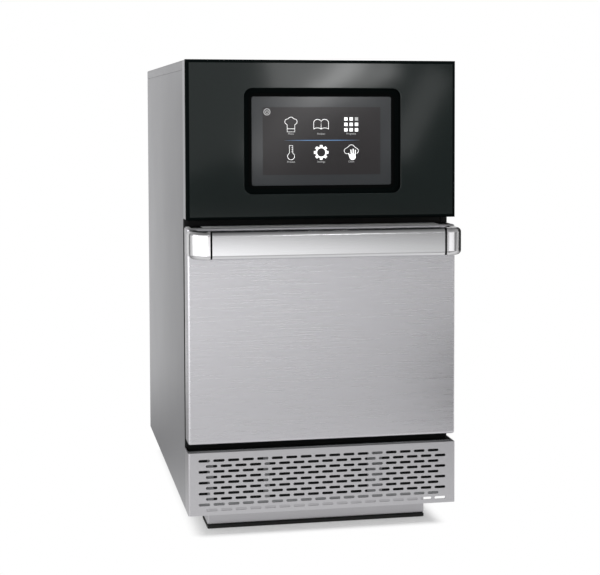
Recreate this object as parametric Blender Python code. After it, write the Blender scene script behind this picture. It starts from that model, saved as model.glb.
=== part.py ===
"""A compact high-speed countertop oven, 356 mm wide.

Stainless steel casing, black control panel with a recessed touch screen, a drop-down door with a
full-width handle, and a slotted air grille above a low foot rail. Metres, +Z up, the front faces -Y,
and the origin is at the centre of the box's floor.
"""
import math

import bpy
import bmesh
from mathutils import Matrix, Vector

for old in list(bpy.data.objects):
    bpy.data.objects.remove(old)

# Whole oven
OVEN_WIDTH = 0.356
CASING_DEPTH = 0.5818
FRONT_DEPTH = 0.0426        # from the casing's front edge to the face of the door
FOOT_HEIGHT = 0.0308        # clear space under the casing
GRILLE_HEIGHT = 0.0818
DOOR_HEIGHT = 0.2807
PANEL_HEIGHT = 0.2065
FRONT_GAP = 0.0107          # shadow gap below the door
PANEL_GAP = 0.0095          # shadow gap above the door
HANDLE_REACH = 0.050        # handle's front ahead of the door's face
GLAND_REACH = 0.018         # cord gland behind the rear panel

# Sheet metal and fits
SHEET = 0.0012
SEAT = 0.0003               # gap between faces that touch
RUNNING = 0.001             # gap around what moves
BEND = 0.003
OVERRUN = 0.004             # how far a cutter runs past what it cuts
TIGHT_BEND = 0.0018         # casing corners
BEND_STEPS = 2
ROUND_STEPS = 20
SMALL_ROUND_STEPS = 12
TINY_ROUND_STEPS = 6
CORNER_STEPS = 4
WELD = 0.00001              # points closer than this become one
SMOOTH_ANGLE = math.radians(35)
EYE_FLAT_SHARE = 0.96       # flats of a round hole against its corners

# Casing
COVER_LIP = 0.0127
FRONT_FLANGE = 0.008
REAR_FLANGE = 0.010
TRAY_LIP = 0.015
VENT_LENGTH = 0.062
VENT_HEIGHT = 0.004
VENT_PITCH = 0.010
VENT_COLUMN_GAP = 0.024
VENT_DROP = 0.060           # first vent row below the top
VENT_ROWS = 9
VENT_COLUMNS = 3
FOOT_INSET = 0.030          # ends of the foot rails from the casing's sides
FOOT_SETBACK = 0.0084       # foot rails from the casing's front and back edges
FOOT_DEPTH = 0.060
RUBBER_HEIGHT = 0.0052
RUBBER_CHAMFER = 0.001

# Control panel and touch screen
FASCIA_DEPTH = 0.012
FASCIA_BEVEL = 0.0042
FASCIA_BEVEL_STEPS = 2
SCREEN_SIDE_BORDER = 0.0106  # recess beside the touch glass
SCREEN_END_BORDER = 0.0105   # recess above and below it
SCREEN_RECESS_RADIUS = 0.011
SCREEN_RECESS_STEPS = 6
SCREEN_RECESS_DEPTH = 0.009
SCREEN_DROP = 0.1050        # screen's centre below the panel's top
TOUCH_WIDTH = 0.1855
TOUCH_HEIGHT = 0.116
TOUCH_DEPTH = 0.003
TOUCH_RADIUS = 0.003
GASKET_WIDTH = 0.004
GASKET_DEPTH = 0.0008
DISPLAY_MARGIN = 0.006      # display module inside the touch glass's outline
DISPLAY_DEPTH = 0.007
BOARD_DEPTH = 0.0016
CABLE_SLOT_WIDTH = 0.120
CABLE_SLOT_HEIGHT = 0.040

# Door
DOOR_SIDE_INSET = 0.0005
DOOR_THICKNESS = 0.034
DOOR_PLATE_INSET = 0.001    # inner panel inside the skin's rear edge
PIVOT_INSET = 0.018         # hinge axis behind the door's face
PIVOT_RISE = 0.013          # hinge axis above the door's lower edge
PLUG_RISE = 0.005           # raised centre of the inner panel
PLUG_MARGIN = 0.005         # raised centre inside the cavity's outline
SEAL_WIDTH = 0.011
SEAL_LIP = 0.0035
INSULATION_MARGIN = 0.020
TOP_PLUG_WIDTH = 0.0143
TOP_PLUG_INSET = 0.0063     # from the door's side
TOP_PLUG_HEIGHT = 0.008
TOP_PLUG_PROUD = 0.0004

# Handle
HANDLE_HEIGHT = 0.0358
HANDLE_DEPTH = 0.026
HANDLE_DROP = 0.0017        # handle's top below the door's top
HANDLE_EDGE = 0.006
HANDLE_WALL = 0.0015
HANDLE_END_WIDTH = 0.0250
HANDLE_ARM_WIDTH = 0.016
HANDLE_CORNER = 0.022
HANDLE_INNER_CORNER = 0.004
HANDLE_CORNER_STEPS = 5
SPACER_WIDTH = 0.0013
SPACER_INSET = 0.0004

# Hinges and latches
HINGE_PLATE = 0.003
HINGE_EYE = 0.008
HINGE_ARM_LENGTH = 0.070
HINGE_FOOT_WIDTH = 0.022
HINGE_FOOT_BELOW = 0.012
HINGE_FOOT_ABOVE = 0.022
PIN_RADIUS = 0.004
PIN_HEAD_RADIUS = 0.0065
PIN_HEAD_LENGTH = 0.0029
EYE_CUT_REACH = 0.012       # eye cutter, to each side of the casing's side
HOOK_INSET = 0.028          # hook from the casing's side
HOOK_DROP = 0.019           # hook's centre line below the door's top
HOOK_PLATE = 0.0025
HOOK_HEIGHT = 0.008
HOOK_LENGTH = 0.028
HOOK_TOOTH = 0.004
HOOK_RISE_ROOM = 0.006

# Air grille and filter
SLOT_LENGTH = 0.0139
SLOT_HEIGHT = 0.003
SLOT_PITCH = 0.01908
SLOT_ROW_PITCH = 0.00714
SLOT_STAGGER_SHARE = 0.25    # of the pitch, to either side in turn
SLOT_TOP_MARGIN = 0.0105
SLOT_BOTTOM_MARGIN = 0.006
SLOT_SIDE_MARGIN = 0.0134
GRILLE_BEND = 0.0025
FILTER_SETBACK = 0.022
FILTER_FRAME_DEPTH = 0.003
FILTER_FRAME_WIDTH = 0.006
FILTER_FOOT_RISE = 0.0075
FILTER_FOOT_RAIL = 0.005
FILTER_HEAD_DROP = 0.002
FILTER_MESH_DEPTH = 0.004
STILE_WIDTHS = (0.008, 0.008, 0.020)
STILE_PLACE_SHARES = (-0.413, -0.205, 0.205)
INTAKE_MARGIN = 0.014

# Cavity
CAVITY_SIDE = 0.0225        # cavity wall's inner face from the casing's side
CAVITY_SILL = 0.0617        # cavity floor above the door's lower edge
CAVITY_HEAD = 0.054         # cavity roof below the door's top
CAVITY_DEPTH = 0.311
CAVITY_RADIUS = 0.010
CAVITY_WALL = 0.001
BLANKET = 0.015
JET_GAP = 0.012             # jet plates from the cavity's roof and floor
JET_RADIUS = 0.004
JET_PITCH = 0.060
JET_MARGIN = 0.030
RUNNER_RISE = 0.022
RUNNER_LEG = 0.014
PLATE_DEPTH = 0.008
PLATE_GAP = 0.006
PLATE_RADIUS = 0.010
CHAMBER_DEPTH = 0.060
INLET_RADIUS = 0.0035
INLET_PITCH = 0.017
INLET_FIELD = 0.052
INLETS_PER_RING = 6
HOT_AIR_SLOT_LENGTH = 0.200
HOT_AIR_SLOT_HEIGHT = 0.006
HOT_AIR_SLOT_INSET = 0.014

# Convection fan and heater
FAN_RADIUS = 0.056
FAN_DEPTH = 0.026
FAN_DISC = 0.0015
FAN_HUB_RADIUS = 0.012
FAN_EYE_RADIUS = 0.030
FAN_BLADES = 10
FAN_BLADE_STEPS = 3
FAN_SWEEP = math.radians(22)
FAN_BLADE = 0.0016
FAN_REAR_GAP = 0.010
SHAFT_RADIUS = 0.005
SHAFT_END = 0.012
MOTOR_RADIUS = 0.042
MOTOR_LENGTH = 0.070
MOTOR_BOSS_RADIUS = 0.018
MOTOR_BOSS_LENGTH = 0.008
HEATER_RADIUS = 0.068
HEATER_TUBE = 0.0035
HEATER_STEPS = 20
HEATER_KNEE = 0.009         # from the ring to where a leg runs straight
HEATER_OPEN_ANGLE = math.radians(30)

# Microwave parts in the base
WAVEGUIDE_DEPTH = 0.090
WAVEGUIDE_HEIGHT = 0.046
WAVEGUIDE_LENGTH = 0.190
WAVEGUIDE_WALL = 0.0015
WAVEGUIDE_CLEARANCE = 0.0061  # behind the cooling fan
FEED_LENGTH = 0.080
FEED_DEPTH = 0.040
MAGNETRON_OFFSET = 0.055
MAGNETRON_WIDTH = 0.076
MAGNETRON_DEPTH = 0.064
MAGNETRON_FINS = 6
MAGNETRON_FIN = 0.0025
MAGNETRON_CORE_SHARE = 0.55
ANTENNA_RADIUS = 0.009
ANTENNA_LENGTH = 0.022
ANTENNA_STEPS = 16
TRANSFORMER_WIDTH = 0.100
TRANSFORMER_HEIGHT = 0.084
TRANSFORMER_DEPTH = 0.060
TRANSFORMER_LEG = 0.018
WINDING_REACH = 0.012
TRANSFORMER_SPOT_X_SHARE = -0.20
TRANSFORMER_SPOT_Y_SHARE = 0.78
CAPACITOR_WIDTH = 0.054
CAPACITOR_DEPTH = 0.034
CAPACITOR_HEIGHT = 0.080
CAPACITOR_STEPS = 5
CAPACITOR_SPOT_X_SHARE = 0.16

# Cooling fan in the base
COOLER_SIZE = 0.116
COOLER_DEPTH = 0.036
COOLER_BORE_RADIUS = 0.053
COOLER_BORE_STEPS = 32
COOLER_CORNER = 0.006
COOLER_SPOT_X_SHARE = -0.20
COOLER_SETBACK = 0.045
COOLER_BLADES = 7
COOLER_HUB_RADIUS = 0.019
COOLER_BLADE = 0.0022
COOLER_TWIST = math.radians(32)
COOLER_TIP_GAP = 0.0015
COOLER_STRUTS = 4
COOLER_STRUT = 0.004
COOLER_STRUT_ROOT = 0.003   # strut's end inside the frame
COOLER_SPIDER_DEPTH = 0.008
COOLER_SEAT_STEP = 0.001    # struts behind the frame's rear face
COOLER_STRUT_TURN_SHARE = 0.5
COOLER_AXLE_RADIUS = 0.003

# Electronics above the cavity
SHELF_HEIGHT = 0.018        # shelf above the insulation blanket
SHELF_LIP = 0.012
SHELF_SETBACK = 0.032
SHELF_DEPTH = 0.420
POWER_BOARD_WIDTH = 0.200
POWER_BOARD_DEPTH = 0.150
POWER_BOARD_SETBACK = 0.080
STANDOFF_HEIGHT = 0.008
STANDOFF_RADIUS = 0.003
STANDOFF_INSET = 0.006
STANDOFF_STEPS = 8

# Cord gland at the back
GLAND_INSET = 0.060         # from the casing's side
GLAND_RISE = 0.070
GLAND_NECK_RADIUS = 0.0125
GLAND_NUT_RADIUS = 0.017
GLAND_NUT_LENGTH = 0.007
GLAND_BORE_RADIUS = 0.0065
GLAND_INSIDE = 0.012

# Places that follow from the sizes above
half_width = OVEN_WIDTH / 2
grille_bottom = FOOT_HEIGHT
grille_top = grille_bottom + GRILLE_HEIGHT
door_bottom = grille_top + FRONT_GAP
door_top = door_bottom + DOOR_HEIGHT
panel_bottom = door_top + PANEL_GAP
oven_top = panel_bottom + PANEL_HEIGHT

door_face = HANDLE_REACH - (HANDLE_REACH + FRONT_DEPTH + CASING_DEPTH + GLAND_REACH) / 2
casing_front = door_face + FRONT_DEPTH
casing_back = casing_front + CASING_DEPTH
door_back = door_face + DOOR_THICKNESS
door_half = half_width - DOOR_SIDE_INSET
inside_half = half_width - SHEET - SEAT
frame_front = casing_front + SHEET + SEAT
frame_back = frame_front + SHEET
rear_inside = casing_back - SHEET - SEAT - SHEET
cover_seam = oven_top - COVER_LIP

cavity_floor = door_bottom + CAVITY_SILL
cavity_roof = door_top - CAVITY_HEAD
cavity_half = half_width - CAVITY_SIDE
cavity_middle = (cavity_floor + cavity_roof) / 2
cavity_back = frame_front + CAVITY_DEPTH
liner_half = cavity_half + CAVITY_WALL
blanket_inner = liner_half + SEAT
blanket_outer = min(blanket_inner + BLANKET, inside_half - SEAT)
blanket_bottom = cavity_floor - CAVITY_WALL - SEAT - BLANKET
blanket_top = cavity_roof + CAVITY_WALL + SEAT + BLANKET
hook_reach = half_width - HOOK_INSET

pivot_y = door_face + PIVOT_INSET
pivot_z = door_bottom + PIVOT_RISE
base_floor = FOOT_HEIGHT + SHEET
cooler_y = casing_front + COOLER_SETBACK
cooler_back = cooler_y + COOLER_DEPTH
guide_y = cooler_back + WAVEGUIDE_CLEARANCE + WAVEGUIDE_DEPTH / 2
cooler_x = COOLER_SPOT_X_SHARE * OVEN_WIDTH
cooler_z = base_floor + SEAT + COOLER_SIZE / 2
fan_back = cavity_back + SEAT + CHAMBER_DEPTH - CAVITY_WALL - FAN_REAR_GAP
fan_front = fan_back - FAN_DEPTH

# Finishes: colour, roughness, metallic
BRUSHED_STEEL = ((0.62, 0.62, 0.64), 0.34, 1.0)
DULL_STEEL = ((0.50, 0.50, 0.51), 0.45, 1.0)
CAST_METAL = ((0.72, 0.72, 0.74), 0.25, 1.0)
BLACK_GLOSS = ((0.012, 0.017, 0.016), 0.10, 0.0)
BLACK_PLASTIC = ((0.020, 0.022, 0.022), 0.45, 0.0)
BLACK_RUBBER = ((0.015, 0.015, 0.015), 0.80, 0.0)
SMOKED_GLASS = ((0.065, 0.065, 0.070), 0.12, 0.0)
SEAL_RUBBER = ((0.030, 0.030, 0.032), 0.70, 0.0)
BOARD_GREEN = ((0.020, 0.120, 0.050), 0.50, 0.0)
CERAMIC_WOOL = ((0.80, 0.78, 0.72), 0.95, 0.0)
COPPER = ((0.62, 0.26, 0.14), 0.35, 1.0)
MOTOR_GREY = ((0.18, 0.18, 0.19), 0.55, 0.6)
HEATER_SHEATH = ((0.14, 0.12, 0.11), 0.55, 0.8)


def finish(name, look):
    """A Principled material for one piece."""
    colour, roughness, metallic = look
    material = bpy.data.materials.new(name + "_finish")
    material.use_nodes = True
    shader = material.node_tree.nodes["Principled BSDF"]
    shader.inputs["Base Color"].default_value = (*colour, 1.0)
    shader.inputs["Roughness"].default_value = roughness
    shader.inputs["Metallic"].default_value = metallic
    return material


def add_object(name, shape, look, origin, carrier):
    """Turn a bmesh made at its real place into an object whose origin is where asked."""
    bmesh.ops.recalc_face_normals(shape, faces=shape.faces[:])
    mesh = bpy.data.meshes.new(name)
    shape.to_mesh(mesh)
    shape.free()
    if origin is None:
        corners = [vertex.co for vertex in mesh.vertices]
        lowest = Vector([min(corner[axis] for corner in corners) for axis in range(3)])
        highest = Vector([max(corner[axis] for corner in corners) for axis in range(3)])
        origin = (lowest + highest) / 2
    origin = Vector(origin)
    mesh.transform(Matrix.Translation(-origin))
    mesh.shade_smooth()
    mesh.set_sharp_from_angle(angle=SMOOTH_ANGLE)
    piece = bpy.data.objects.new(name, mesh)
    bpy.context.scene.collection.objects.link(piece)
    piece.location = origin
    if carrier is not None:
        piece.parent = carrier
        piece.location = origin - carrier.location
    if look is not None:
        mesh.materials.append(finish(name, look))
    return piece


def add_part(name, shape, look, origin=None, carrier=None):
    """One physical piece of the oven."""
    return add_object(name, shape, look, origin, carrier)


def add_cutter(name, shape, carrier=None):
    """A shape that only cuts or adds to other pieces."""
    cutter = add_object(name, shape, None, None, carrier)
    cutter.hide_render = True
    cutter.display_type = "WIRE"
    return cutter


def add_axis(name, place):
    """An empty on a joint's axis, which carries the pieces that move."""
    axis = bpy.data.objects.new(name, None)
    bpy.context.scene.collection.objects.link(axis)
    axis.location = place
    return axis


def shape_with(piece, cutter, operation="DIFFERENCE"):
    """Cut a piece with another shape, or join the shape to it."""
    change = piece.modifiers.new(operation.lower(), "BOOLEAN")
    change.operation = operation
    change.solver = "EXACT"
    change.object = cutter


def set_in_space(axis, u, v, along):
    """Where the point (u, v) of a section drawn across an axis lies."""
    if axis == "X":
        return Vector((along, u, v))
    if axis == "Y":
        return Vector((u, along, v))
    return Vector((u, v, along))


def rectangle(low_u, low_v, high_u, high_v):
    return [(low_u, low_v), (high_u, low_v), (high_u, high_v), (low_u, high_v)]


def centred_rectangle(centre_u, centre_v, width, height):
    return rectangle(centre_u - width / 2, centre_v - height / 2, centre_u + width / 2, centre_v + height / 2)


def circle(centre_u, centre_v, radius, steps=ROUND_STEPS):
    angles = [2 * math.pi * step / steps for step in range(steps)]
    return [(centre_u + radius * math.cos(angle), centre_v + radius * math.sin(angle)) for angle in angles]


def slot(centre_u, centre_v, length, height):
    """A narrow slot with pointed ends."""
    end = length / 2
    flat = (length - height) / 2
    rise = height / 2
    return [(centre_u + u, centre_v + v) for u, v in
            ((-flat, -rise), (flat, -rise), (end, 0), (flat, rise), (-flat, rise), (-end, 0))]


def fillet(before, corner, after, radius, steps):
    """The arc that rounds a corner of an outline."""
    corner = Vector(corner)
    to_before = (Vector(before) - corner).normalized()
    to_after = (Vector(after) - corner).normalized()
    half_angle = to_before.angle(to_after) / 2
    centre = corner + (to_before + to_after).normalized() * radius / math.sin(half_angle)
    first = corner + to_before * radius / math.tan(half_angle) - centre
    last = corner + to_after * radius / math.tan(half_angle) - centre
    start = math.atan2(first.y, first.x)
    sweep = (math.atan2(last.y, last.x) - start + math.pi) % (2 * math.pi) - math.pi
    arc = []
    for step in range(steps + 1):
        angle = start + sweep * step / steps
        arc.append((centre.x + radius * math.cos(angle), centre.y + radius * math.sin(angle)))
    return arc


def rounded(corners, radii, steps=BEND_STEPS):
    """A closed outline with each corner rounded by its radius."""
    if not isinstance(radii, (list, tuple)):
        radii = [radii] * len(corners)
    outline = []
    for index, corner in enumerate(corners):
        if radii[index] <= 0:
            outline.append(corner)
        else:
            after = corners[(index + 1) % len(corners)]
            outline.extend(fillet(corners[index - 1], corner, after, radii[index], steps))
    return outline


def side_step(path, distance):
    """An open path moved sideways, to its left, with mitred corners."""
    points = [Vector(point) for point in path]
    normals = []
    for first, second in zip(points, points[1:]):
        run = (second - first).normalized()
        normals.append(Vector((-run.y, run.x)))
    moved = [points[0] + normals[0] * distance]
    for index in range(1, len(points) - 1):
        mitre = (normals[index - 1] + normals[index]).normalized()
        moved.append(points[index] + mitre * distance / mitre.dot(normals[index]))
    moved.append(points[-1] + normals[-1] * distance)
    return [(point.x, point.y) for point in moved]


def bent(path, radius):
    """An open path with its inner corners rounded."""
    points = [path[0]]
    for index in range(1, len(path) - 1):
        points.extend(fillet(path[index - 1], path[index], path[index + 1], radius, BEND_STEPS))
    points.append(path[-1])
    return points


def folded_section(path, bend=BEND, sheet=SHEET):
    """The section of a folded sheet: the path is its outer face, the sheet lies to its left."""
    outer = bent(path, bend)
    inner = bent(side_step(path, sheet), bend - sheet)
    return outer + inner[::-1]


def prism(outlines, axis, low, high):
    """Closed outlines drawn across an axis and extruded along it, all in one mesh."""
    shape = bmesh.new()
    for outline in outlines:
        first = [shape.verts.new(set_in_space(axis, u, v, low)) for u, v in outline]
        last = [shape.verts.new(set_in_space(axis, u, v, high)) for u, v in outline]
        shape.faces.new(first)
        shape.faces.new(last[::-1])
        for index in range(len(outline)):
            after = (index + 1) % len(outline)
            shape.faces.new((first[index], last[index], last[after], first[after]))
    return shape


def ring(outer, inner, axis, low, high):
    """A tube between two outlines that have the same number of points."""
    shape = bmesh.new()
    loops = []
    for outline in (outer, inner):
        for along in (low, high):
            loops.append([shape.verts.new(set_in_space(axis, u, v, along)) for u, v in outline])
    outer_low, outer_high, inner_low, inner_high = loops
    for index in range(len(outer)):
        after = (index + 1) % len(outer)
        for first, second in ((outer_low, outer_high), (inner_high, inner_low)):
            shape.faces.new((first[index], second[index], second[after], first[after]))
        for first, second in ((outer_low, inner_low), (outer_high, inner_high)):
            shape.faces.new((first[index], second[index], second[after], first[after]))
    return shape


def block(low, high, edge=0.0, steps=1):
    """A solid block between two corners, with its edges rounded or chamfered."""
    low = Vector(low)
    high = Vector(high)
    shape = bmesh.new()
    bmesh.ops.create_cube(shape, size=1.0)
    bmesh.ops.scale(shape, vec=high - low, verts=shape.verts[:])
    bmesh.ops.translate(shape, vec=(low + high) / 2, verts=shape.verts[:])
    if edge > 0:
        bmesh.ops.bevel(shape, geom=shape.edges[:], offset=edge, offset_type="OFFSET", segments=steps,
                        profile=0.5, affect="EDGES", material=-1)
    return shape


def add_pan(name, low, high, open_side, look, bend=BEND, sheet=SHEET, carrier=None):
    """A pressed pan: five closed sides with rounded bends, and one open side such as '+Y'."""
    axis = "XYZ".index(open_side[1])
    sign = 1 if open_side[0] == "+" else -1
    shape = block(low, high)
    opening = max(shape.faces, key=lambda face: sign * face.calc_center_median()[axis])
    rim = set(opening.edges)
    bmesh.ops.delete(shape, geom=[opening], context="FACES_ONLY")
    bends = [edge for edge in shape.edges if edge not in rim]
    bmesh.ops.bevel(shape, geom=bends, offset=bend, offset_type="OFFSET", segments=BEND_STEPS,
                    profile=0.5, affect="EDGES", material=-1)
    piece = add_part(name, shape, look, carrier=carrier)
    wall = piece.modifiers.new("wall", "SOLIDIFY")
    wall.thickness = sheet
    wall.offset = -1.0
    wall.use_even_offset = True
    return piece


def turned(profile, centre, axis, steps=ROUND_STEPS):
    """A closed profile of (radius, height) turned about an axis through the centre."""
    centre = Vector(centre)
    shape = bmesh.new()
    loops = []
    for step in range(steps):
        angle = 2 * math.pi * step / steps
        loop = []
        for radius, height in profile:
            across = (radius * math.cos(angle), radius * math.sin(angle))
            loop.append(shape.verts.new(centre + set_in_space(axis, *across, height)))
        loops.append(loop)
    for step in range(steps):
        here = loops[step]
        there = loops[(step + 1) % steps]
        for index in range(len(profile)):
            after = (index + 1) % len(profile)
            if profile[index][0] > 0 or profile[after][0] > 0:
                shape.faces.new((here[index], there[index], there[after], here[after]))
    bmesh.ops.remove_doubles(shape, verts=shape.verts[:], dist=WELD)
    return shape


# Base tray: a folded sheet with upturned sides that closes the casing below.
tray_front = frame_back + SEAT
tray_back = rear_inside - SEAT
tray_path = [(-inside_half, FOOT_HEIGHT + TRAY_LIP), (-inside_half, FOOT_HEIGHT),
             (inside_half, FOOT_HEIGHT), (inside_half, FOOT_HEIGHT + TRAY_LIP)]
add_part("base_tray", prism([folded_section(tray_path)], "Y", tray_front, tray_back), DULL_STEEL)

# Side panels: one folded sheet each, with a front and a rear return flange.
for side, sign in (("left", -1), ("right", 1)):
    side_path = [(sign * (half_width - FRONT_FLANGE), casing_front), (sign * half_width, casing_front),
                 (sign * half_width, casing_back), (sign * (half_width - REAR_FLANGE), casing_back)]
    if sign < 0:
        side_path = side_path[::-1]
    add_part(side + "_side_panel",
             prism([folded_section(side_path, bend=TIGHT_BEND)], "Z", FOOT_HEIGHT, cover_seam - SEAT),
             BRUSHED_STEEL)

# Top cover: a shallow lid with a lip all round.
add_pan("top_cover", (-half_width, casing_front, cover_seam), (half_width, casing_back, oven_top), "-Z",
        BRUSHED_STEEL, bend=TIGHT_BEND)

# Rear panel: a flat sheet between the side panels' flanges, with three columns of vents.
rear_panel = add_part("rear_panel",
                      prism([rectangle(-inside_half, FOOT_HEIGHT, inside_half, oven_top - SHEET - SEAT)],
                            "Y", rear_inside, rear_inside + SHEET), BRUSHED_STEEL)
vents = []
for column in range(VENT_COLUMNS):
    vent_x = (column - (VENT_COLUMNS - 1) / 2) * (VENT_LENGTH + VENT_COLUMN_GAP)
    for row in range(VENT_ROWS):
        vent_z = oven_top - VENT_DROP - row * VENT_PITCH
        vents.append(slot(vent_x, vent_z, VENT_LENGTH, VENT_HEIGHT))
shape_with(rear_panel, add_cutter("vent_cutter", prism(vents, "Y", rear_inside - OVERRUN, casing_back)))
gland_x = half_width - GLAND_INSET
gland_z = FOOT_HEIGHT + GLAND_RISE
shape_with(rear_panel, add_cutter("gland_hole_cutter",
                                  prism([circle(gland_x, gland_z, GLAND_NECK_RADIUS + SEAT)], "Y",
                                        rear_inside - OVERRUN, casing_back)))

# Front frame: the plate behind the door that ties the sides together.
frame = add_part("front_frame",
                 prism([rectangle(-inside_half, FOOT_HEIGHT, inside_half, oven_top - SHEET - SEAT)],
                       "Y", frame_front, frame_back), DULL_STEEL)
mouth = rounded(rectangle(-liner_half - SEAT, cavity_floor - CAVITY_WALL - SEAT,
                          liner_half + SEAT, cavity_roof + CAVITY_WALL + SEAT),
                CAVITY_RADIUS + CAVITY_WALL + SEAT)
intake = rounded(rectangle(-inside_half + INTAKE_MARGIN, FOOT_HEIGHT + INTAKE_MARGIN,
                           inside_half - INTAKE_MARGIN, grille_top - INTAKE_MARGIN), BEND)
cable_slot = rounded(centred_rectangle(0, oven_top - SCREEN_DROP, CABLE_SLOT_WIDTH, CABLE_SLOT_HEIGHT), BEND)
hook_z = door_top - HOOK_DROP
hook_slots = []
for sign in (-1, 1):
    hook_x = sign * hook_reach
    hook_slots.append(rectangle(hook_x - HOOK_PLATE / 2 - RUNNING,
                                hook_z - HOOK_HEIGHT / 2 - HOOK_TOOTH - RUNNING,
                                hook_x + HOOK_PLATE / 2 + RUNNING,
                                hook_z + HOOK_HEIGHT / 2 + HOOK_RISE_ROOM))
shape_with(frame, add_cutter("frame_openings_cutter",
                             prism([mouth, intake, cable_slot] + hook_slots, "Y",
                                   frame_front - OVERRUN, frame_back + OVERRUN)))

# Foot rails: pressed channels across the front and the back, each on a rubber strip.
foot_half = half_width - FOOT_INSET
front_foot = casing_front + FOOT_SETBACK
rear_foot = casing_back - FOOT_SETBACK - FOOT_DEPTH
for end, foot_y in (("front", front_foot), ("rear", rear_foot)):
    add_pan(end + "_foot_rail", (-foot_half, foot_y, RUBBER_HEIGHT + SEAT),
            (foot_half, foot_y + FOOT_DEPTH, FOOT_HEIGHT - SEAT), "+Z", BRUSHED_STEEL)
    add_part(end + "_foot_rubber",
             block((-foot_half, foot_y, 0), (foot_half, foot_y + FOOT_DEPTH, RUBBER_HEIGHT), RUBBER_CHAMFER),
             BLACK_RUBBER)

# Control panel housing: a stainless pan, open to the casing, that carries the fascia.
housing_front = door_face + FASCIA_DEPTH + SEAT
add_pan("control_panel_housing", (-half_width, housing_front, panel_bottom),
        (half_width, casing_front - SEAT, oven_top), "+Y", BRUSHED_STEEL, bend=TIGHT_BEND)

# Control panel fascia: a thick gloss black moulding with a bevelled edge and the screen's recess.
fascia_shape = block((-half_width, door_face, panel_bottom), (half_width, door_face + FASCIA_DEPTH, oven_top))
front_edges = [edge for edge in fascia_shape.edges
               if all(vertex.co.y < door_face + SEAT for vertex in edge.verts)]
bmesh.ops.bevel(fascia_shape, geom=front_edges, offset=FASCIA_BEVEL, offset_type="OFFSET",
                segments=FASCIA_BEVEL_STEPS, profile=0.5, affect="EDGES", material=-1)
fascia = add_part("control_panel_fascia", fascia_shape, BLACK_GLOSS)
screen_z = oven_top - SCREEN_DROP
recess = rounded(centred_rectangle(0, screen_z, TOUCH_WIDTH + 2 * SCREEN_SIDE_BORDER,
                                   TOUCH_HEIGHT + 2 * SCREEN_END_BORDER),
                 SCREEN_RECESS_RADIUS, steps=SCREEN_RECESS_STEPS)
window = rounded(centred_rectangle(0, screen_z, TOUCH_WIDTH + 2 * SEAT, TOUCH_HEIGHT + 2 * SEAT),
                 TOUCH_RADIUS + SEAT)
shape_with(fascia, add_cutter("screen_recess_cutter",
                              prism([recess], "Y", door_face - OVERRUN, door_face + SCREEN_RECESS_DEPTH)))
shape_with(fascia, add_cutter("screen_window_cutter",
                              prism([window], "Y", door_face, door_face + FASCIA_DEPTH + OVERRUN)))
display_outline = rounded(centred_rectangle(0, screen_z, TOUCH_WIDTH - 2 * DISPLAY_MARGIN,
                                            TOUCH_HEIGHT - 2 * DISPLAY_MARGIN), TOUCH_RADIUS)

# Touch screen: glass let into the fascia, its gasket, and the display module behind.
touch_front = door_face + SCREEN_RECESS_DEPTH
touch_outline = rounded(centred_rectangle(0, screen_z, TOUCH_WIDTH, TOUCH_HEIGHT), TOUCH_RADIUS)
touch_back = touch_front + TOUCH_DEPTH
add_part("touch_glass", prism([touch_outline], "Y", touch_front, touch_back), SMOKED_GLASS)
gasket_outer = rounded(centred_rectangle(0, screen_z, TOUCH_WIDTH + 2 * GASKET_WIDTH,
                                         TOUCH_HEIGHT + 2 * GASKET_WIDTH), TOUCH_RADIUS + GASKET_WIDTH)
gasket_back = touch_front - SEAT
add_part("screen_gasket", ring(gasket_outer, touch_outline, "Y", gasket_back - GASKET_DEPTH, gasket_back),
         SEAL_RUBBER)
shape_with(bpy.data.objects["control_panel_housing"],
           add_cutter("housing_window_cutter",
                      prism([touch_outline], "Y", housing_front - OVERRUN, housing_front + SHEET + OVERRUN)))
display_front = touch_back + SEAT
display_back = display_front + DISPLAY_DEPTH
add_part("display_module", prism([display_outline], "Y", display_front, display_back), BLACK_PLASTIC)

# Air grille and its filter: one unit that pulls forward off the casing for cleaning.
filter_slide = add_axis("filter_slide", (0, door_face, grille_bottom))
grille_back = casing_front - SEAT
grille_path = [(-half_width, grille_back), (-half_width, door_face), (half_width, door_face),
               (half_width, grille_back)]
grille = add_part("air_grille", prism([folded_section(grille_path, bend=GRILLE_BEND)], "Z",
                                      grille_bottom, grille_top), BRUSHED_STEEL, carrier=filter_slide)
slot_room = OVEN_WIDTH - 2 * SLOT_SIDE_MARGIN - SLOT_LENGTH - SLOT_PITCH / 2
slots_in_row = int(slot_room / SLOT_PITCH) + 1
slot_rows = int((GRILLE_HEIGHT - SLOT_TOP_MARGIN - SLOT_BOTTOM_MARGIN) / SLOT_ROW_PITCH) + 1
row_length = (slots_in_row - 1) * SLOT_PITCH
slot_outlines = []
for row in range(slot_rows):
    slot_z = grille_top - SLOT_TOP_MARGIN - row * SLOT_ROW_PITCH
    stagger = SLOT_PITCH * (SLOT_STAGGER_SHARE if row % 2 else -SLOT_STAGGER_SHARE)
    for column in range(slots_in_row):
        slot_x = stagger - row_length / 2 + column * SLOT_PITCH
        slot_outlines.append(slot(slot_x, slot_z, SLOT_LENGTH, SLOT_HEIGHT))
shape_with(grille, add_cutter("grille_slots_cutter",
                              prism(slot_outlines, "Y", door_face - OVERRUN, door_face + OVERRUN),
                              carrier=filter_slide))
filter_front = door_face + FILTER_SETBACK
filter_low = grille_bottom + FILTER_FOOT_RISE
filter_high = grille_top - FILTER_HEAD_DROP
filter_frame = add_part("filter_frame",
                        prism([rectangle(-inside_half, filter_low, inside_half, filter_high)], "Y",
                              filter_front, filter_front + FILTER_FRAME_DEPTH), DULL_STEEL,
                        carrier=filter_slide)
window_start = -inside_half + FILTER_FRAME_WIDTH
filter_windows = []
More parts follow.
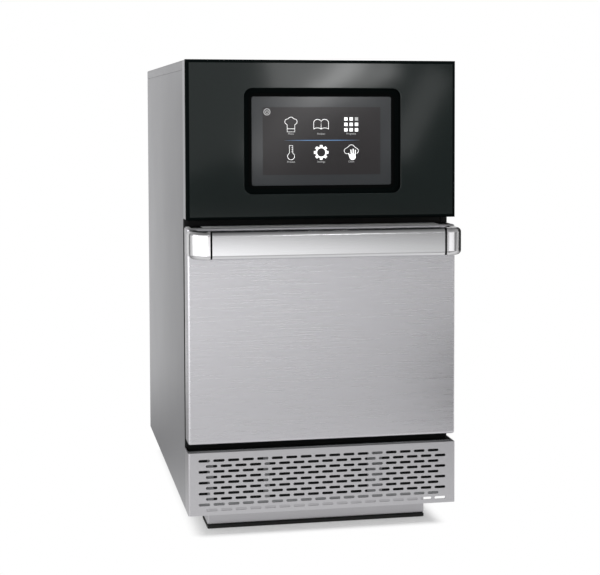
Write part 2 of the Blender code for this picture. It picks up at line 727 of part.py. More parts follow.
for share, width in zip(STILE_PLACE_SHARES, STILE_WIDTHS):
    stile = share * OVEN_WIDTH
    filter_windows.append(rectangle(window_start, filter_low + FILTER_FOOT_RAIL, stile - width / 2,
                                    filter_high - FILTER_FRAME_WIDTH))
    window_start = stile + width / 2
filter_windows.append(rectangle(window_start, filter_low + FILTER_FOOT_RAIL,
                                inside_half - FILTER_FRAME_WIDTH, filter_high - FILTER_FRAME_WIDTH))
shape_with(filter_frame, add_cutter("filter_windows_cutter",
                                    prism(filter_windows, "Y", filter_front - OVERRUN,
                                          filter_front + FILTER_FRAME_DEPTH + OVERRUN),
                                    carrier=filter_slide))
mesh_front = filter_front + FILTER_FRAME_DEPTH + SEAT
add_part("filter_mesh", prism([rectangle(-inside_half, filter_low, inside_half, filter_high)], "Y",
                              mesh_front, mesh_front + FILTER_MESH_DEPTH), MOTOR_GREY, carrier=filter_slide)

# Door: everything here hangs on the hinge axis.
door_axis = add_axis("door_axis", (0, pivot_y, pivot_z))
door_skin = add_pan("door_outer_skin", (-door_half, door_face, door_bottom), (door_half, door_back, door_top),
                    "+Y", BRUSHED_STEEL, carrier=door_axis)
skin_inside = door_half - SHEET
plate_back = door_back - DOOR_PLATE_INSET
plate_front = plate_back - SHEET
inner_half = skin_inside - SEAT
inner_low = door_bottom + SHEET + SEAT
inner_high = door_top - SHEET - SEAT

# Inner panel: a sheet pressed to a raised centre that faces the cavity.
panel_shape = bmesh.new()
plug_half = cavity_half - PLUG_MARGIN
plug_low = cavity_floor + PLUG_MARGIN
plug_high = cavity_roof - PLUG_MARGIN
panel_loops = []
for outline_half, low_z, high_z, depth, corner_radius in (
        (inner_half, inner_low, inner_high, plate_back, BEND),
        (plug_half, plug_low, plug_high, plate_back, CAVITY_RADIUS),
        (plug_half - PLUG_RISE, plug_low + PLUG_RISE, plug_high - PLUG_RISE, plate_back + PLUG_RISE,
         CAVITY_RADIUS - PLUG_RISE)):
    outline = rounded(rectangle(-outline_half, low_z, outline_half, high_z), corner_radius)
    panel_loops.append([panel_shape.verts.new((x, depth, z)) for x, z in outline])
for outer_loop, inner_loop in zip(panel_loops, panel_loops[1:]):
    for index in range(len(outer_loop)):
        after = (index + 1) % len(outer_loop)
        panel_shape.faces.new((outer_loop[index], outer_loop[after], inner_loop[after], inner_loop[index]))
panel_shape.faces.new(panel_loops[-1])
bmesh.ops.recalc_face_normals(panel_shape, faces=panel_shape.faces[:])
if panel_shape.faces[0].normal.y < 0:
    bmesh.ops.reverse_faces(panel_shape, faces=panel_shape.faces[:])
bmesh.ops.solidify(panel_shape, geom=panel_shape.faces[:], thickness=SHEET)
inner_panel = add_part("door_inner_panel", panel_shape, BRUSHED_STEEL, carrier=door_axis)

# Seal: a soft ring between the inner panel and the front frame.
seal_front = plate_back + SEAT
seal_back = frame_front - SEAT
seal_shape = bmesh.new()
seal_loops = []
seal_in = (cavity_half + SEAT, cavity_floor - SEAT, cavity_roof + SEAT)
seal_out = (seal_in[0] + SEAL_WIDTH, seal_in[1] - SEAL_WIDTH, seal_in[2] + SEAL_WIDTH)
seal_outer = rounded(rectangle(-seal_out[0], seal_out[1], seal_out[0], seal_out[2]),
                     CAVITY_RADIUS + SEAL_WIDTH, steps=CORNER_STEPS)
seal_inner = rounded(rectangle(-seal_in[0], seal_in[1], seal_in[0], seal_in[2]), CAVITY_RADIUS,
                     steps=CORNER_STEPS)
seal_crown_outer = rounded(rectangle(-seal_out[0] + SEAL_LIP, seal_out[1] + SEAL_LIP, seal_out[0] - SEAL_LIP,
                                     seal_out[2] - SEAL_LIP), CAVITY_RADIUS + SEAL_WIDTH - SEAL_LIP,
                           steps=CORNER_STEPS)
seal_crown_inner = rounded(rectangle(-seal_in[0] - SEAL_LIP, seal_in[1] - SEAL_LIP, seal_in[0] + SEAL_LIP,
                                     seal_in[2] + SEAL_LIP), CAVITY_RADIUS + SEAL_LIP, steps=CORNER_STEPS)
for outline, depth in ((seal_outer, seal_front), (seal_outer, seal_back - SEAL_LIP),
                       (seal_crown_outer, seal_back), (seal_crown_inner, seal_back),
                       (seal_inner, seal_back - SEAL_LIP), (seal_inner, seal_front)):
    seal_loops.append([seal_shape.verts.new((x, depth, z)) for x, z in outline])
for index, loop in enumerate(seal_loops):
    following = seal_loops[(index + 1) % len(seal_loops)]
    for step in range(len(loop)):
        after = (step + 1) % len(loop)
        seal_shape.faces.new((loop[step], following[step], following[after], loop[after]))
add_part("door_seal", seal_shape, SEAL_RUBBER, carrier=door_axis)

# Door insulation: a board that fills the door between the hinges.
board_half = door_half - INSULATION_MARGIN
add_part("door_insulation",
         block((-board_half, door_face + SHEET + SEAT, inner_low + PIVOT_RISE),
               (board_half, plate_front - SEAT, inner_high - TOP_PLUG_HEIGHT), BEND), CERAMIC_WOOL,
         carrier=door_axis)

# Top plugs: black mouldings that close the two notches in the door's top edge.
for side, sign in (("left", -1), ("right", 1)):
    plug_centre = sign * (half_width - TOP_PLUG_INSET - TOP_PLUG_WIDTH / 2)
    plug_near = door_face + BEND + SEAT
    plug_far = plate_front - SEAT
    add_part("door_top_plug_" + side,
             block((plug_centre - TOP_PLUG_WIDTH / 2, plug_near, door_top - TOP_PLUG_HEIGHT),
                   (plug_centre + TOP_PLUG_WIDTH / 2, plug_far, door_top + TOP_PLUG_PROUD),
                   TOP_PLUG_PROUD / 2),
             BLACK_PLASTIC, carrier=door_axis)
    shape_with(door_skin, add_cutter("top_notch_cutter_" + side,
                                     block((plug_centre - TOP_PLUG_WIDTH / 2 - SEAT, plug_near - SEAT,
                                            door_top - SHEET - OVERRUN),
                                           (plug_centre + TOP_PLUG_WIDTH / 2 + SEAT, plug_far + SEAT,
                                            door_top + OVERRUN)), carrier=door_axis))

# Handle: a hollow bar between two cast ends, with a thin black spacer at each seam.
handle_front = door_face - HANDLE_REACH
handle_back = handle_front + HANDLE_DEPTH
handle_top = door_top - HANDLE_DROP
handle_bottom = handle_top - HANDLE_HEIGHT
bar_half = half_width - HANDLE_END_WIDTH
spacer_room = SPACER_WIDTH + 2 * SEAT
bar_section = rounded(rectangle(handle_front, handle_bottom, handle_back, handle_top), HANDLE_EDGE,
                      steps=CORNER_STEPS)
bar_bore = rounded(rectangle(handle_front + HANDLE_WALL, handle_bottom + HANDLE_WALL,
                             handle_back - HANDLE_WALL, handle_top - HANDLE_WALL),
                   HANDLE_EDGE - HANDLE_WALL, steps=CORNER_STEPS)
add_part("handle_bar", ring(bar_section, bar_bore, "X", spacer_room - bar_half, bar_half - spacer_room),
         BRUSHED_STEEL, carrier=door_axis)
spacer_section = rounded(rectangle(handle_front + SPACER_INSET, handle_bottom + SPACER_INSET,
                                   handle_back - SPACER_INSET, handle_top - SPACER_INSET),
                         HANDLE_EDGE - SPACER_INSET, steps=CORNER_STEPS)
for side, sign in (("left", -1), ("right", 1)):
    spacer_ends = sorted((sign * (bar_half - SEAT), sign * (bar_half - SEAT - SPACER_WIDTH)))
    add_part("handle_spacer_" + side, prism([spacer_section], "X", *spacer_ends), BLACK_PLASTIC,
             carrier=door_axis)
    arm_inner = sign * (half_width - HANDLE_ARM_WIDTH)
    plan = rounded([(sign * bar_half, handle_front), (sign * half_width, handle_front),
                    (sign * half_width, door_face - SEAT), (arm_inner, door_face - SEAT),
                    (arm_inner, handle_back), (sign * bar_half, handle_back)],
                   [0, HANDLE_CORNER, 0, 0, HANDLE_INNER_CORNER, 0], steps=HANDLE_CORNER_STEPS)
    end_shape = prism([plan], "Z", handle_bottom, handle_top)
    soft_edges = []
    for edge in end_shape.edges:
        first, second = (vertex.co for vertex in edge.verts)
        upright = abs(first.z - second.z) > SEAT
        on_seam = abs(first.x - sign * bar_half) < SEAT and abs(second.x - sign * bar_half) < SEAT
        on_door = first.y > door_face - 2 * SEAT and second.y > door_face - 2 * SEAT
        if not (upright or on_seam or on_door):
            soft_edges.append(edge)
    bmesh.ops.bevel(end_shape, geom=soft_edges, offset=HANDLE_EDGE, offset_type="OFFSET",
                    segments=CORNER_STEPS, profile=0.5, affect="EDGES", material=-1)
    add_part("handle_end_" + side, end_shape, CAST_METAL, carrier=door_axis)

# Hinges: an arm in the door, a bracket on the casing and a pin through both.
arm_outer = skin_inside - SEAT
arm_inside = arm_outer - HINGE_PLATE
bracket_outer = arm_inside - 2 * SEAT
bracket_inside = bracket_outer - HINGE_PLATE
pin_head = bracket_inside - SEAT - PIN_HEAD_LENGTH
foot_front = casing_front - SEAT - HINGE_PLATE
for side, sign in (("left", -1), ("right", 1)):
    arm_ends = sorted((sign * arm_outer, sign * arm_inside))
    bracket_ends = sorted((sign * bracket_outer, sign * bracket_inside))
    eye = circle(pivot_y, pivot_z, (PIN_RADIUS + SEAT) / EYE_FLAT_SHARE, SMALL_ROUND_STEPS)
    arm_outline = rounded(rectangle(pivot_y - HINGE_EYE, pivot_z - HINGE_EYE, pivot_y + HINGE_EYE,
                                    pivot_z + HINGE_ARM_LENGTH),
                          [HINGE_EYE - SEAT, HINGE_EYE - SEAT, BEND, BEND], steps=CORNER_STEPS)
    hinge_arm = add_part("hinge_arm_" + side, prism([arm_outline], "X", *arm_ends), DULL_STEEL,
                         origin=(sign * arm_outer, pivot_y, pivot_z), carrier=door_axis)
    bracket_outline = rounded(rectangle(pivot_y - HINGE_EYE, pivot_z - HINGE_EYE, foot_front + HINGE_PLATE,
                                        pivot_z + HINGE_EYE),
                              [HINGE_EYE - SEAT, 0, 0, HINGE_EYE - SEAT], steps=CORNER_STEPS)
    bracket = add_part("hinge_bracket_" + side, prism([bracket_outline], "X", *bracket_ends), DULL_STEEL)
    foot_ends = sorted((sign * (bracket_inside + SEAT), sign * (bracket_inside - HINGE_FOOT_WIDTH)))
    shape_with(bracket, add_cutter("hinge_foot_" + side,
                                   block((foot_ends[0], foot_front, pivot_z - HINGE_FOOT_BELOW),
                                         (foot_ends[1], foot_front + HINGE_PLATE,
                                          pivot_z + HINGE_FOOT_ABOVE))), "UNION")
    eye_cutter = add_cutter("hinge_eye_cutter_" + side,
                            prism([eye], "X", sign * half_width - EYE_CUT_REACH,
                                  sign * half_width + EYE_CUT_REACH))
    shape_with(hinge_arm, eye_cutter)
    shape_with(bracket, eye_cutter)
    notch_ends = sorted((sign * (pin_head - RUNNING), sign * (arm_inside - SEAT)))
    notch_cutter = add_cutter("hinge_notch_cutter_" + side,
                              block((notch_ends[0], pivot_y - HINGE_EYE - RUNNING, door_bottom - OVERRUN),
                                    (notch_ends[1], door_back + OVERRUN, pivot_z + HINGE_EYE + RUNNING)),
                              carrier=door_axis)
    shape_with(door_skin, notch_cutter)
    shape_with(inner_panel, notch_cutter)
    pin_profile = [(0, sign * pin_head), (PIN_HEAD_RADIUS, sign * pin_head),
                   (PIN_HEAD_RADIUS, sign * (pin_head + PIN_HEAD_LENGTH)),
                   (PIN_RADIUS, sign * (pin_head + PIN_HEAD_LENGTH)),
                   (PIN_RADIUS, sign * (arm_outer - SEAT)), (0, sign * (arm_outer - SEAT))]
    add_part("hinge_pin_" + side, turned(pin_profile, (0, pivot_y, pivot_z), "X", SMALL_ROUND_STEPS),
             CAST_METAL)

# Latch hooks on the door, which reach through slots in the front frame.
hook_root = plate_back + SEAT
for side, sign in (("left", -1), ("right", 1)):
    hook_x = sign * hook_reach
    hook_tip = frame_back + HOOK_LENGTH - HOOK_HEIGHT
    hook_low = hook_z - HOOK_HEIGHT / 2
    hook_high = hook_z + HOOK_HEIGHT / 2
    hook_outline = [(hook_root, hook_low), (hook_tip - HOOK_HEIGHT, hook_low),
                    (hook_tip - HOOK_HEIGHT / 2, hook_low - HOOK_TOOTH), (hook_tip, hook_low),
                    (hook_tip, hook_high - HOOK_TOOTH), (hook_tip - HOOK_TOOTH, hook_high),
                    (hook_root, hook_high)]
    add_part("latch_hook_" + side,
             prism([hook_outline], "X", hook_x - HOOK_PLATE / 2, hook_x + HOOK_PLATE / 2),
             DULL_STEEL, carrier=door_axis)

# Cavity liner: a welded tube with rounded corners.
liner_outer = rounded(rectangle(-liner_half, cavity_floor - CAVITY_WALL,
                                liner_half, cavity_roof + CAVITY_WALL), CAVITY_RADIUS + CAVITY_WALL)
liner_inner = rounded(rectangle(-cavity_half, cavity_floor, cavity_half, cavity_roof), CAVITY_RADIUS)
liner = add_part("cavity_liner", ring(liner_outer, liner_inner, "Y", frame_front, cavity_back), BRUSHED_STEEL)
feed = rounded(centred_rectangle(0, guide_y, FEED_LENGTH, FEED_DEPTH), BEND)
feed_cutter = add_cutter("microwave_feed_cutter", prism([feed], "Z", blanket_bottom - OVERRUN,
                                                        cavity_floor + OVERRUN))
shape_with(liner, feed_cutter)

# Cavity insulation: a ceramic wool blanket round the liner.
blanket_shape = ring(rounded(rectangle(-blanket_outer, blanket_bottom, blanket_outer, blanket_top), BLANKET),
                     rounded(rectangle(-blanket_inner, cavity_floor - CAVITY_WALL - SEAT, blanket_inner,
                                       cavity_roof + CAVITY_WALL + SEAT), CAVITY_RADIUS + CAVITY_WALL + SEAT),
                     "Y", frame_back + SEAT, cavity_back + CHAMBER_DEPTH)
blanket = add_part("cavity_insulation", blanket_shape, CERAMIC_WOOL)
shape_with(blanket, feed_cutter)

# Cavity rear wall: a plate with the fan's round inlet field and two hot air slots.
wall_plate = add_part("cavity_rear_wall",
                      prism([rounded(rectangle(SEAT - cavity_half, cavity_floor + SEAT, cavity_half - SEAT,
                                               cavity_roof - SEAT), CAVITY_RADIUS)],
                            "Y", cavity_back - CAVITY_WALL, cavity_back), BRUSHED_STEEL)
inlet_holes = []
inlet_rings = int(INLET_FIELD / INLET_PITCH)
for ring_number in range(inlet_rings + 1):
    holes_in_ring = max(1, INLETS_PER_RING * ring_number)
    for number in range(holes_in_ring):
        angle = 2 * math.pi * number / holes_in_ring
        reach = ring_number * INLET_PITCH
        inlet_holes.append(circle(reach * math.cos(angle), cavity_middle + reach * math.sin(angle),
                                  INLET_RADIUS, steps=TINY_ROUND_STEPS))
for sign in (-1, 1):
    slot_z = cavity_middle + sign * ((cavity_roof - cavity_floor) / 2 - HOT_AIR_SLOT_INSET)
    inlet_holes.append(slot(0, slot_z, HOT_AIR_SLOT_LENGTH, HOT_AIR_SLOT_HEIGHT))
shape_with(wall_plate, add_cutter("inlet_cutter", prism(inlet_holes, "Y", cavity_back - CAVITY_WALL - OVERRUN,
                                                        cavity_back + OVERRUN)))

# Jet plates: perforated sheets that blow hot air on the food from above and below.
jet_front = frame_front + JET_GAP
jet_back = cavity_back - CAVITY_WALL - SEAT
jet_half = cavity_half - SEAT
jet_columns = int(2 * (jet_half - JET_MARGIN) / JET_PITCH) + 1
jet_rows = int((jet_back - jet_front - 2 * JET_MARGIN) / JET_PITCH) + 1
jets = []
for column in range(jet_columns):
    for row in range(jet_rows):
        jet_x = (column - (jet_columns - 1) / 2) * JET_PITCH
        jet_y = (jet_front + jet_back) / 2 + (row - (jet_rows - 1) / 2) * JET_PITCH
        jets.append(circle(jet_x, jet_y, JET_RADIUS, steps=TINY_ROUND_STEPS))
for level, jet_z in (("upper", cavity_roof - JET_GAP), ("lower", cavity_floor + JET_GAP)):
    jet_plate = add_part(level + "_jet_plate",
                         prism([rectangle(-jet_half, jet_front, jet_half, jet_back)], "Z", jet_z,
                               jet_z + CAVITY_WALL), DULL_STEEL)
    shape_with(jet_plate, add_cutter(level + "_jets_cutter", prism(jets, "Z", jet_z - OVERRUN,
                                                                   jet_z + CAVITY_WALL + OVERRUN)))

# Cook plate on two angle runners.
runner_z = cavity_floor + RUNNER_RISE
for side, sign in (("left", -1), ("right", 1)):
    wall_x = sign * (cavity_half - SEAT)
    runner_path = [(wall_x, runner_z - RUNNER_LEG / 2), (wall_x, runner_z),
                   (wall_x - sign * RUNNER_LEG, runner_z)]
    if sign < 0:
        runner_path = runner_path[::-1]
    add_part("plate_runner_" + side,
             prism([folded_section(runner_path, bend=TIGHT_BEND)], "Y", jet_front, jet_back), DULL_STEEL)
add_part("cook_plate",
         prism([rounded(rectangle(PLATE_GAP - cavity_half, jet_front + PLATE_GAP, cavity_half - PLATE_GAP,
                                  jet_back - PLATE_GAP), PLATE_RADIUS)], "Z", runner_z + SEAT,
               runner_z + SEAT + PLATE_DEPTH), MOTOR_GREY)

# Fan chamber: a pan behind the cavity that holds the convection fan and the heater.
chamber_back = cavity_back + SEAT + CHAMBER_DEPTH
chamber = add_pan("fan_chamber", (-liner_half, cavity_back + SEAT, cavity_floor - CAVITY_WALL),
                  (liner_half, chamber_back, cavity_roof + CAVITY_WALL), "-Y", BRUSHED_STEEL,
                  bend=CAVITY_RADIUS + CAVITY_WALL, sheet=CAVITY_WALL)
leg_half = HEATER_RADIUS * math.sin(HEATER_OPEN_ANGLE / 2)
leg_drop = HEATER_RADIUS * math.cos(HEATER_OPEN_ANGLE / 2)
chamber_holes = [circle(0, cavity_middle, SHAFT_RADIUS + RUNNING)]
for sign in (-1, 1):
    chamber_holes.append(circle(sign * leg_half, cavity_middle - leg_drop, HEATER_TUBE + SEAT,
                                steps=SMALL_ROUND_STEPS))
shape_with(chamber, add_cutter("chamber_holes_cutter",
                               prism(chamber_holes, "Y", chamber_back - CAVITY_WALL - OVERRUN,
                                     chamber_back + OVERRUN)))

# Convection fan: a rear disc with a hub and curved blades, on its own shaft.
fan_axis = add_axis("convection_fan_axis", (0, fan_back, cavity_middle))
disc_front = FAN_DEPTH - FAN_DISC
impeller_profile = [(SHAFT_RADIUS + SEAT, 0), (FAN_HUB_RADIUS, 0), (FAN_HUB_RADIUS, disc_front),
                    (FAN_RADIUS, disc_front), (FAN_RADIUS, FAN_DEPTH), (SHAFT_RADIUS + SEAT, FAN_DEPTH)]
fan = add_part("convection_fan", turned(impeller_profile, (0, fan_front, cavity_middle), "Y"),
               BRUSHED_STEEL, origin=(0, fan_back, cavity_middle), carrier=fan_axis)
blade_outlines = []
for blade in range(FAN_BLADES):
    spread = 2 * math.pi * blade / FAN_BLADES
    outer_side = []
    inner_side = []
    for step in range(FAN_BLADE_STEPS + 1):
        share = step / FAN_BLADE_STEPS
        reach = FAN_EYE_RADIUS + (FAN_RADIUS - 2 * SEAT - FAN_EYE_RADIUS) * share
        angle = spread + share * share * FAN_SWEEP
        half_blade = FAN_BLADE / 2 / reach
        for side_points, turn in ((outer_side, angle + half_blade), (inner_side, angle - half_blade)):
            side_points.append((reach * math.cos(turn), cavity_middle + reach * math.sin(turn)))
    blade_outlines.append(outer_side + inner_side[::-1])
shape_with(fan, add_cutter("fan_blades",
                           prism(blade_outlines, "Y", fan_front, fan_front + disc_front + FAN_DISC / 2),
                           carrier=fan_axis), "UNION")
shaft_front = fan_front - SEAT
motor_front = chamber_back + SEAT
shaft_back = motor_front + SHAFT_END
add_part("fan_shaft", turned([(0, shaft_front), (SHAFT_RADIUS, shaft_front), (SHAFT_RADIUS, shaft_back),
                              (0, shaft_back)], (0, 0, cavity_middle), "Y"), CAST_METAL,
         origin=(0, fan_back, cavity_middle), carrier=fan_axis)
motor_profile = [(SHAFT_RADIUS + SEAT, motor_front), (MOTOR_BOSS_RADIUS, motor_front),
                 (MOTOR_BOSS_RADIUS, motor_front + MOTOR_BOSS_LENGTH),
                 (MOTOR_RADIUS - BEND, motor_front + MOTOR_BOSS_LENGTH),
                 (MOTOR_RADIUS, motor_front + MOTOR_BOSS_LENGTH + BEND),
                 (MOTOR_RADIUS, motor_front + MOTOR_LENGTH - BEND),
                 (MOTOR_RADIUS - BEND, motor_front + MOTOR_LENGTH), (0, motor_front + MOTOR_LENGTH),
                 (0, shaft_back + SEAT), (SHAFT_RADIUS + SEAT, shaft_back + SEAT)]
add_part("convection_motor", turned(motor_profile, (0, 0, cavity_middle), "Y"), MOTOR_GREY)

# Heating element: one sheathed tube bent round the fan, its two legs through the chamber's back.
heater_y = (fan_front + fan_back) / 2
leg_end = chamber_back + SHAFT_END
ring_start = -math.pi / 2 + HEATER_OPEN_ANGLE / 2
ring_sweep = 2 * math.pi - HEATER_OPEN_ANGLE
route = [(leg_half, leg_end, cavity_middle - leg_drop),
         (leg_half, heater_y + HEATER_KNEE, cavity_middle - leg_drop)]
for step in range(HEATER_STEPS + 1):
    angle = ring_start + ring_sweep * step / HEATER_STEPS
    route.append((HEATER_RADIUS * math.cos(angle), heater_y, cavity_middle + HEATER_RADIUS * math.sin(angle)))
route.append((-leg_half, heater_y + HEATER_KNEE, cavity_middle - leg_drop))
route.append((-leg_half, leg_end, cavity_middle - leg_drop))
heater_line = bpy.data.curves.new("heating_element", "CURVE")
heater_line.dimensions = "3D"
heater_line.bevel_depth = HEATER_TUBE
heater_line.bevel_resolution = 1
heater_line.use_fill_caps = True
heater_spline = heater_line.splines.new("POLY")
heater_spline.points.add(len(route) - 1)
for point, place in zip(heater_spline.points, route):
    point.co = (place[0], place[1] - heater_y, place[2] - cavity_middle, 1)
heater_line.materials.append(finish("heating_element", HEATER_SHEATH))
heater = bpy.data.objects.new("heating_element", heater_line)
bpy.context.scene.collection.objects.link(heater)
heater.location = (0, heater_y, cavity_middle)

# Waveguide under the cavity: a rectangular duct with a feed opening above and an antenna hole below.
guide_top = blanket_bottom - SEAT
guide_low = guide_top - WAVEGUIDE_HEIGHT
guide_outer = rounded(rectangle(guide_y - WAVEGUIDE_DEPTH / 2, guide_low, guide_y + WAVEGUIDE_DEPTH / 2,
                                guide_top), BEND)
guide_inner = rounded(rectangle(guide_y - WAVEGUIDE_DEPTH / 2 + WAVEGUIDE_WALL, guide_low + WAVEGUIDE_WALL,
                                guide_y + WAVEGUIDE_DEPTH / 2 - WAVEGUIDE_WALL,
                                guide_top - WAVEGUIDE_WALL), BEND - WAVEGUIDE_WALL)
guide = add_part("waveguide",
                 ring(guide_outer, guide_inner, "X", -WAVEGUIDE_LENGTH / 2, WAVEGUIDE_LENGTH / 2),
                 DULL_STEEL)
shape_with(guide, add_cutter("guide_feed_cutter",
                             prism([feed], "Z", guide_top - WAVEGUIDE_WALL - OVERRUN, guide_top + OVERRUN)))
shape_with(guide, add_cutter("antenna_hole_cutter",
                             prism([circle(MAGNETRON_OFFSET, guide_y, ANTENNA_RADIUS + RUNNING)], "Z",
                                   guide_low - OVERRUN, guide_low + WAVEGUIDE_WALL + OVERRUN)))

# Magnetron: a finned block under the waveguide with its antenna inside the duct.
tube_top = guide_low - SEAT
tube_bottom = base_floor + SEAT
fin_pitch = (tube_top - tube_bottom) / MAGNETRON_FINS
core_half = MAGNETRON_WIDTH * MAGNETRON_CORE_SHARE / 2
fin_side = []
for number in range(MAGNETRON_FINS):
    fin_low = tube_bottom + number * fin_pitch
    fin_high = fin_low + MAGNETRON_FIN
    fin_side.extend([(core_half, fin_low), (MAGNETRON_WIDTH / 2, fin_low), (MAGNETRON_WIDTH / 2, fin_high),
                     (core_half, fin_high)])
fin_side[0] = (MAGNETRON_WIDTH / 2, tube_bottom)
del fin_side[1]
fin_side.extend([(core_half, tube_top - MAGNETRON_FIN), (MAGNETRON_WIDTH / 2, tube_top - MAGNETRON_FIN),
                 (MAGNETRON_WIDTH / 2, tube_top)])
fin_outline = [(MAGNETRON_OFFSET + x, z) for x, z in fin_side]
fin_outline.extend((MAGNETRON_OFFSET - x, z) for x, z in reversed(fin_side))
magnetron = add_part("magnetron", prism([fin_outline], "Y", guide_y - MAGNETRON_DEPTH / 2,
                                        guide_y + MAGNETRON_DEPTH / 2), MOTOR_GREY)
antenna_profile = [(0, tube_top - MAGNETRON_FIN / 2), (ANTENNA_RADIUS, tube_top - MAGNETRON_FIN / 2),
                   (ANTENNA_RADIUS, tube_top + ANTENNA_LENGTH - BEND),
                   (ANTENNA_RADIUS - BEND, tube_top + ANTENNA_LENGTH), (0, tube_top + ANTENNA_LENGTH)]
shape_with(magnetron, add_cutter("antenna", turned(antenna_profile, (MAGNETRON_OFFSET, guide_y, 0), "Z",
                                                   steps=ANTENNA_STEPS)), "UNION")

# Transformer: a laminated core with two windows, and the winding round its middle leg.
core_x = TRANSFORMER_SPOT_X_SHARE * OVEN_WIDTH
core_y = casing_front + CASING_DEPTH * TRANSFORMER_SPOT_Y_SHARE
core_low = base_floor + SEAT
core_high = core_low + TRANSFORMER_HEIGHT
core = add_part("transformer_core",
                prism([rectangle(core_x - TRANSFORMER_WIDTH / 2, core_low, core_x + TRANSFORMER_WIDTH / 2,
                                 core_high)], "Y", core_y - TRANSFORMER_DEPTH / 2,
                      core_y + TRANSFORMER_DEPTH / 2), DULL_STEEL)
core_windows = []
window_edge = TRANSFORMER_WIDTH / 2 - TRANSFORMER_LEG
for sign in (-1, 1):
    ends = sorted((core_x + sign * TRANSFORMER_LEG / 2, core_x + sign * window_edge))
    core_windows.append(rectangle(ends[0], core_low + TRANSFORMER_LEG, ends[1], core_high - TRANSFORMER_LEG))
shape_with(core, add_cutter("core_windows_cutter",
                            prism(core_windows, "Y", core_y - TRANSFORMER_DEPTH / 2 - OVERRUN,
                                  core_y + TRANSFORMER_DEPTH / 2 + OVERRUN)))
winding_inner = rounded(centred_rectangle(core_x, core_y, TRANSFORMER_LEG + 2 * SEAT,
                                          TRANSFORMER_DEPTH + 2 * SEAT), SEAT)
winding_outer = rounded(centred_rectangle(core_x, core_y, 2 * (window_edge - SEAT),
                                          TRANSFORMER_DEPTH + 2 * WINDING_REACH), WINDING_REACH)
add_part("transformer_winding", ring(winding_outer, winding_inner, "Z", core_low + TRANSFORMER_LEG + SEAT,
                                     core_high - TRANSFORMER_LEG - SEAT), COPPER)

# Capacitor: an oval can beside the transformer.
can_x = CAPACITOR_SPOT_X_SHARE * OVEN_WIDTH
can_outline = rounded(centred_rectangle(can_x, core_y, CAPACITOR_WIDTH, CAPACITOR_DEPTH),
                      CAPACITOR_DEPTH / 2 - SEAT, steps=CAPACITOR_STEPS)
add_part("capacitor", prism([can_outline], "Z", core_low, core_low + CAPACITOR_HEIGHT), CAST_METAL)

# Cooling fan behind the air intake: a square frame with a round duct, and a bladed rotor in it.
cooler_frame = add_part("cooling_fan_frame",
                        prism([rounded(centred_rectangle(cooler_x, cooler_z, COOLER_SIZE, COOLER_SIZE),
                                       COOLER_CORNER)], "Y", cooler_y, cooler_back), BLACK_PLASTIC)
shape_with(cooler_frame, add_cutter("cooler_bore_cutter",
                                    prism([circle(cooler_x, cooler_z, COOLER_BORE_RADIUS,
                                                  steps=COOLER_BORE_STEPS)], "Y",
                                          cooler_y - OVERRUN, cooler_back + OVERRUN)))
spider_front = cooler_back - COOLER_SPIDER_DEPTH
strut_end = COOLER_BORE_RADIUS + COOLER_STRUT_ROOT
strut_side = COOLER_STRUT / 2
spider_outline = []
for strut in range(COOLER_STRUTS):
    turn = Matrix.Rotation(2 * math.pi * (strut + COOLER_STRUT_TURN_SHARE) / COOLER_STRUTS, 2)
    for along, across in ((strut_end, -strut_side), (strut_end, strut_side), (strut_side, strut_side)):
        corner = turn @ Vector((along, across))
        spider_outline.append((cooler_x + corner.x, cooler_z + corner.y))
shape_with(cooler_frame, add_cutter("cooler_struts", prism([spider_outline], "Y", spider_front,
                                                           cooler_back - COOLER_SEAT_STEP)), "UNION")
shape_with(cooler_frame, add_cutter("cooler_motor_seat",
                                    prism([circle(cooler_x, cooler_z, COOLER_HUB_RADIUS)], "Y",
                                          spider_front - SEAT, cooler_back - COOLER_SEAT_STEP / 2)), "UNION")
shape_with(cooler_frame, add_cutter("cooler_axle_cutter",
                                    prism([circle(cooler_x, cooler_z, COOLER_AXLE_RADIUS + SEAT,
                                                  steps=SMALL_ROUND_STEPS)], "Y",
                                          spider_front - OVERRUN, cooler_back + OVERRUN)))
rotor_axis = add_axis("cooling_fan_axis", (cooler_x, cooler_y, cooler_z))
rotor_back = spider_front - 2 * SEAT - RUNNING
rotor_front = cooler_y + RUNNING
axle_end = cooler_back - RUNNING
rotor_profile = [(0, rotor_front), (COOLER_HUB_RADIUS - BEND, rotor_front),
                 (COOLER_HUB_RADIUS, rotor_front + BEND),
                 (COOLER_HUB_RADIUS, rotor_back), (COOLER_AXLE_RADIUS, rotor_back),
                 (COOLER_AXLE_RADIUS, axle_end), (0, axle_end)]
rotor = add_part("cooling_fan_rotor", turned(rotor_profile, (cooler_x, 0, cooler_z), "Y"), BLACK_PLASTIC,
                 origin=(cooler_x, cooler_y, cooler_z), carrier=rotor_axis)
blade_shape = bmesh.new()
blade_low = rotor_front + BEND + RUNNING
blade_high = rotor_back - RUNNING
for blade in range(COOLER_BLADES):
    spread = 2 * math.pi * blade / COOLER_BLADES
    rings = []
    for reach in (COOLER_HUB_RADIUS - BEND, COOLER_BORE_RADIUS - COOLER_TIP_GAP):
        thick = COOLER_BLADE / reach / 2
        ring_points = []
        for depth, lean in ((blade_low, -COOLER_TWIST / 2), (blade_high, COOLER_TWIST / 2)):
            for edge_sign in (-1, 1):
                angle = spread + lean + edge_sign * thick
                ring_points.append(blade_shape.verts.new((cooler_x + reach * math.cos(angle), depth,
                                                          cooler_z + reach * math.sin(angle))))
        rings.append([ring_points[0], ring_points[1], ring_points[3], ring_points[2]])
    blade_shape.faces.new(rings[0])
    blade_shape.faces.new(rings[1][::-1])
    for index in range(len(rings[0])):
        after = (index + 1) % len(rings[0])
        blade_shape.faces.new((rings[0][index], rings[1][index], rings[1][after], rings[0][after]))
shape_with(rotor, add_cutter("cooler_blades", blade_shape, carrier=rotor_axis), "UNION")

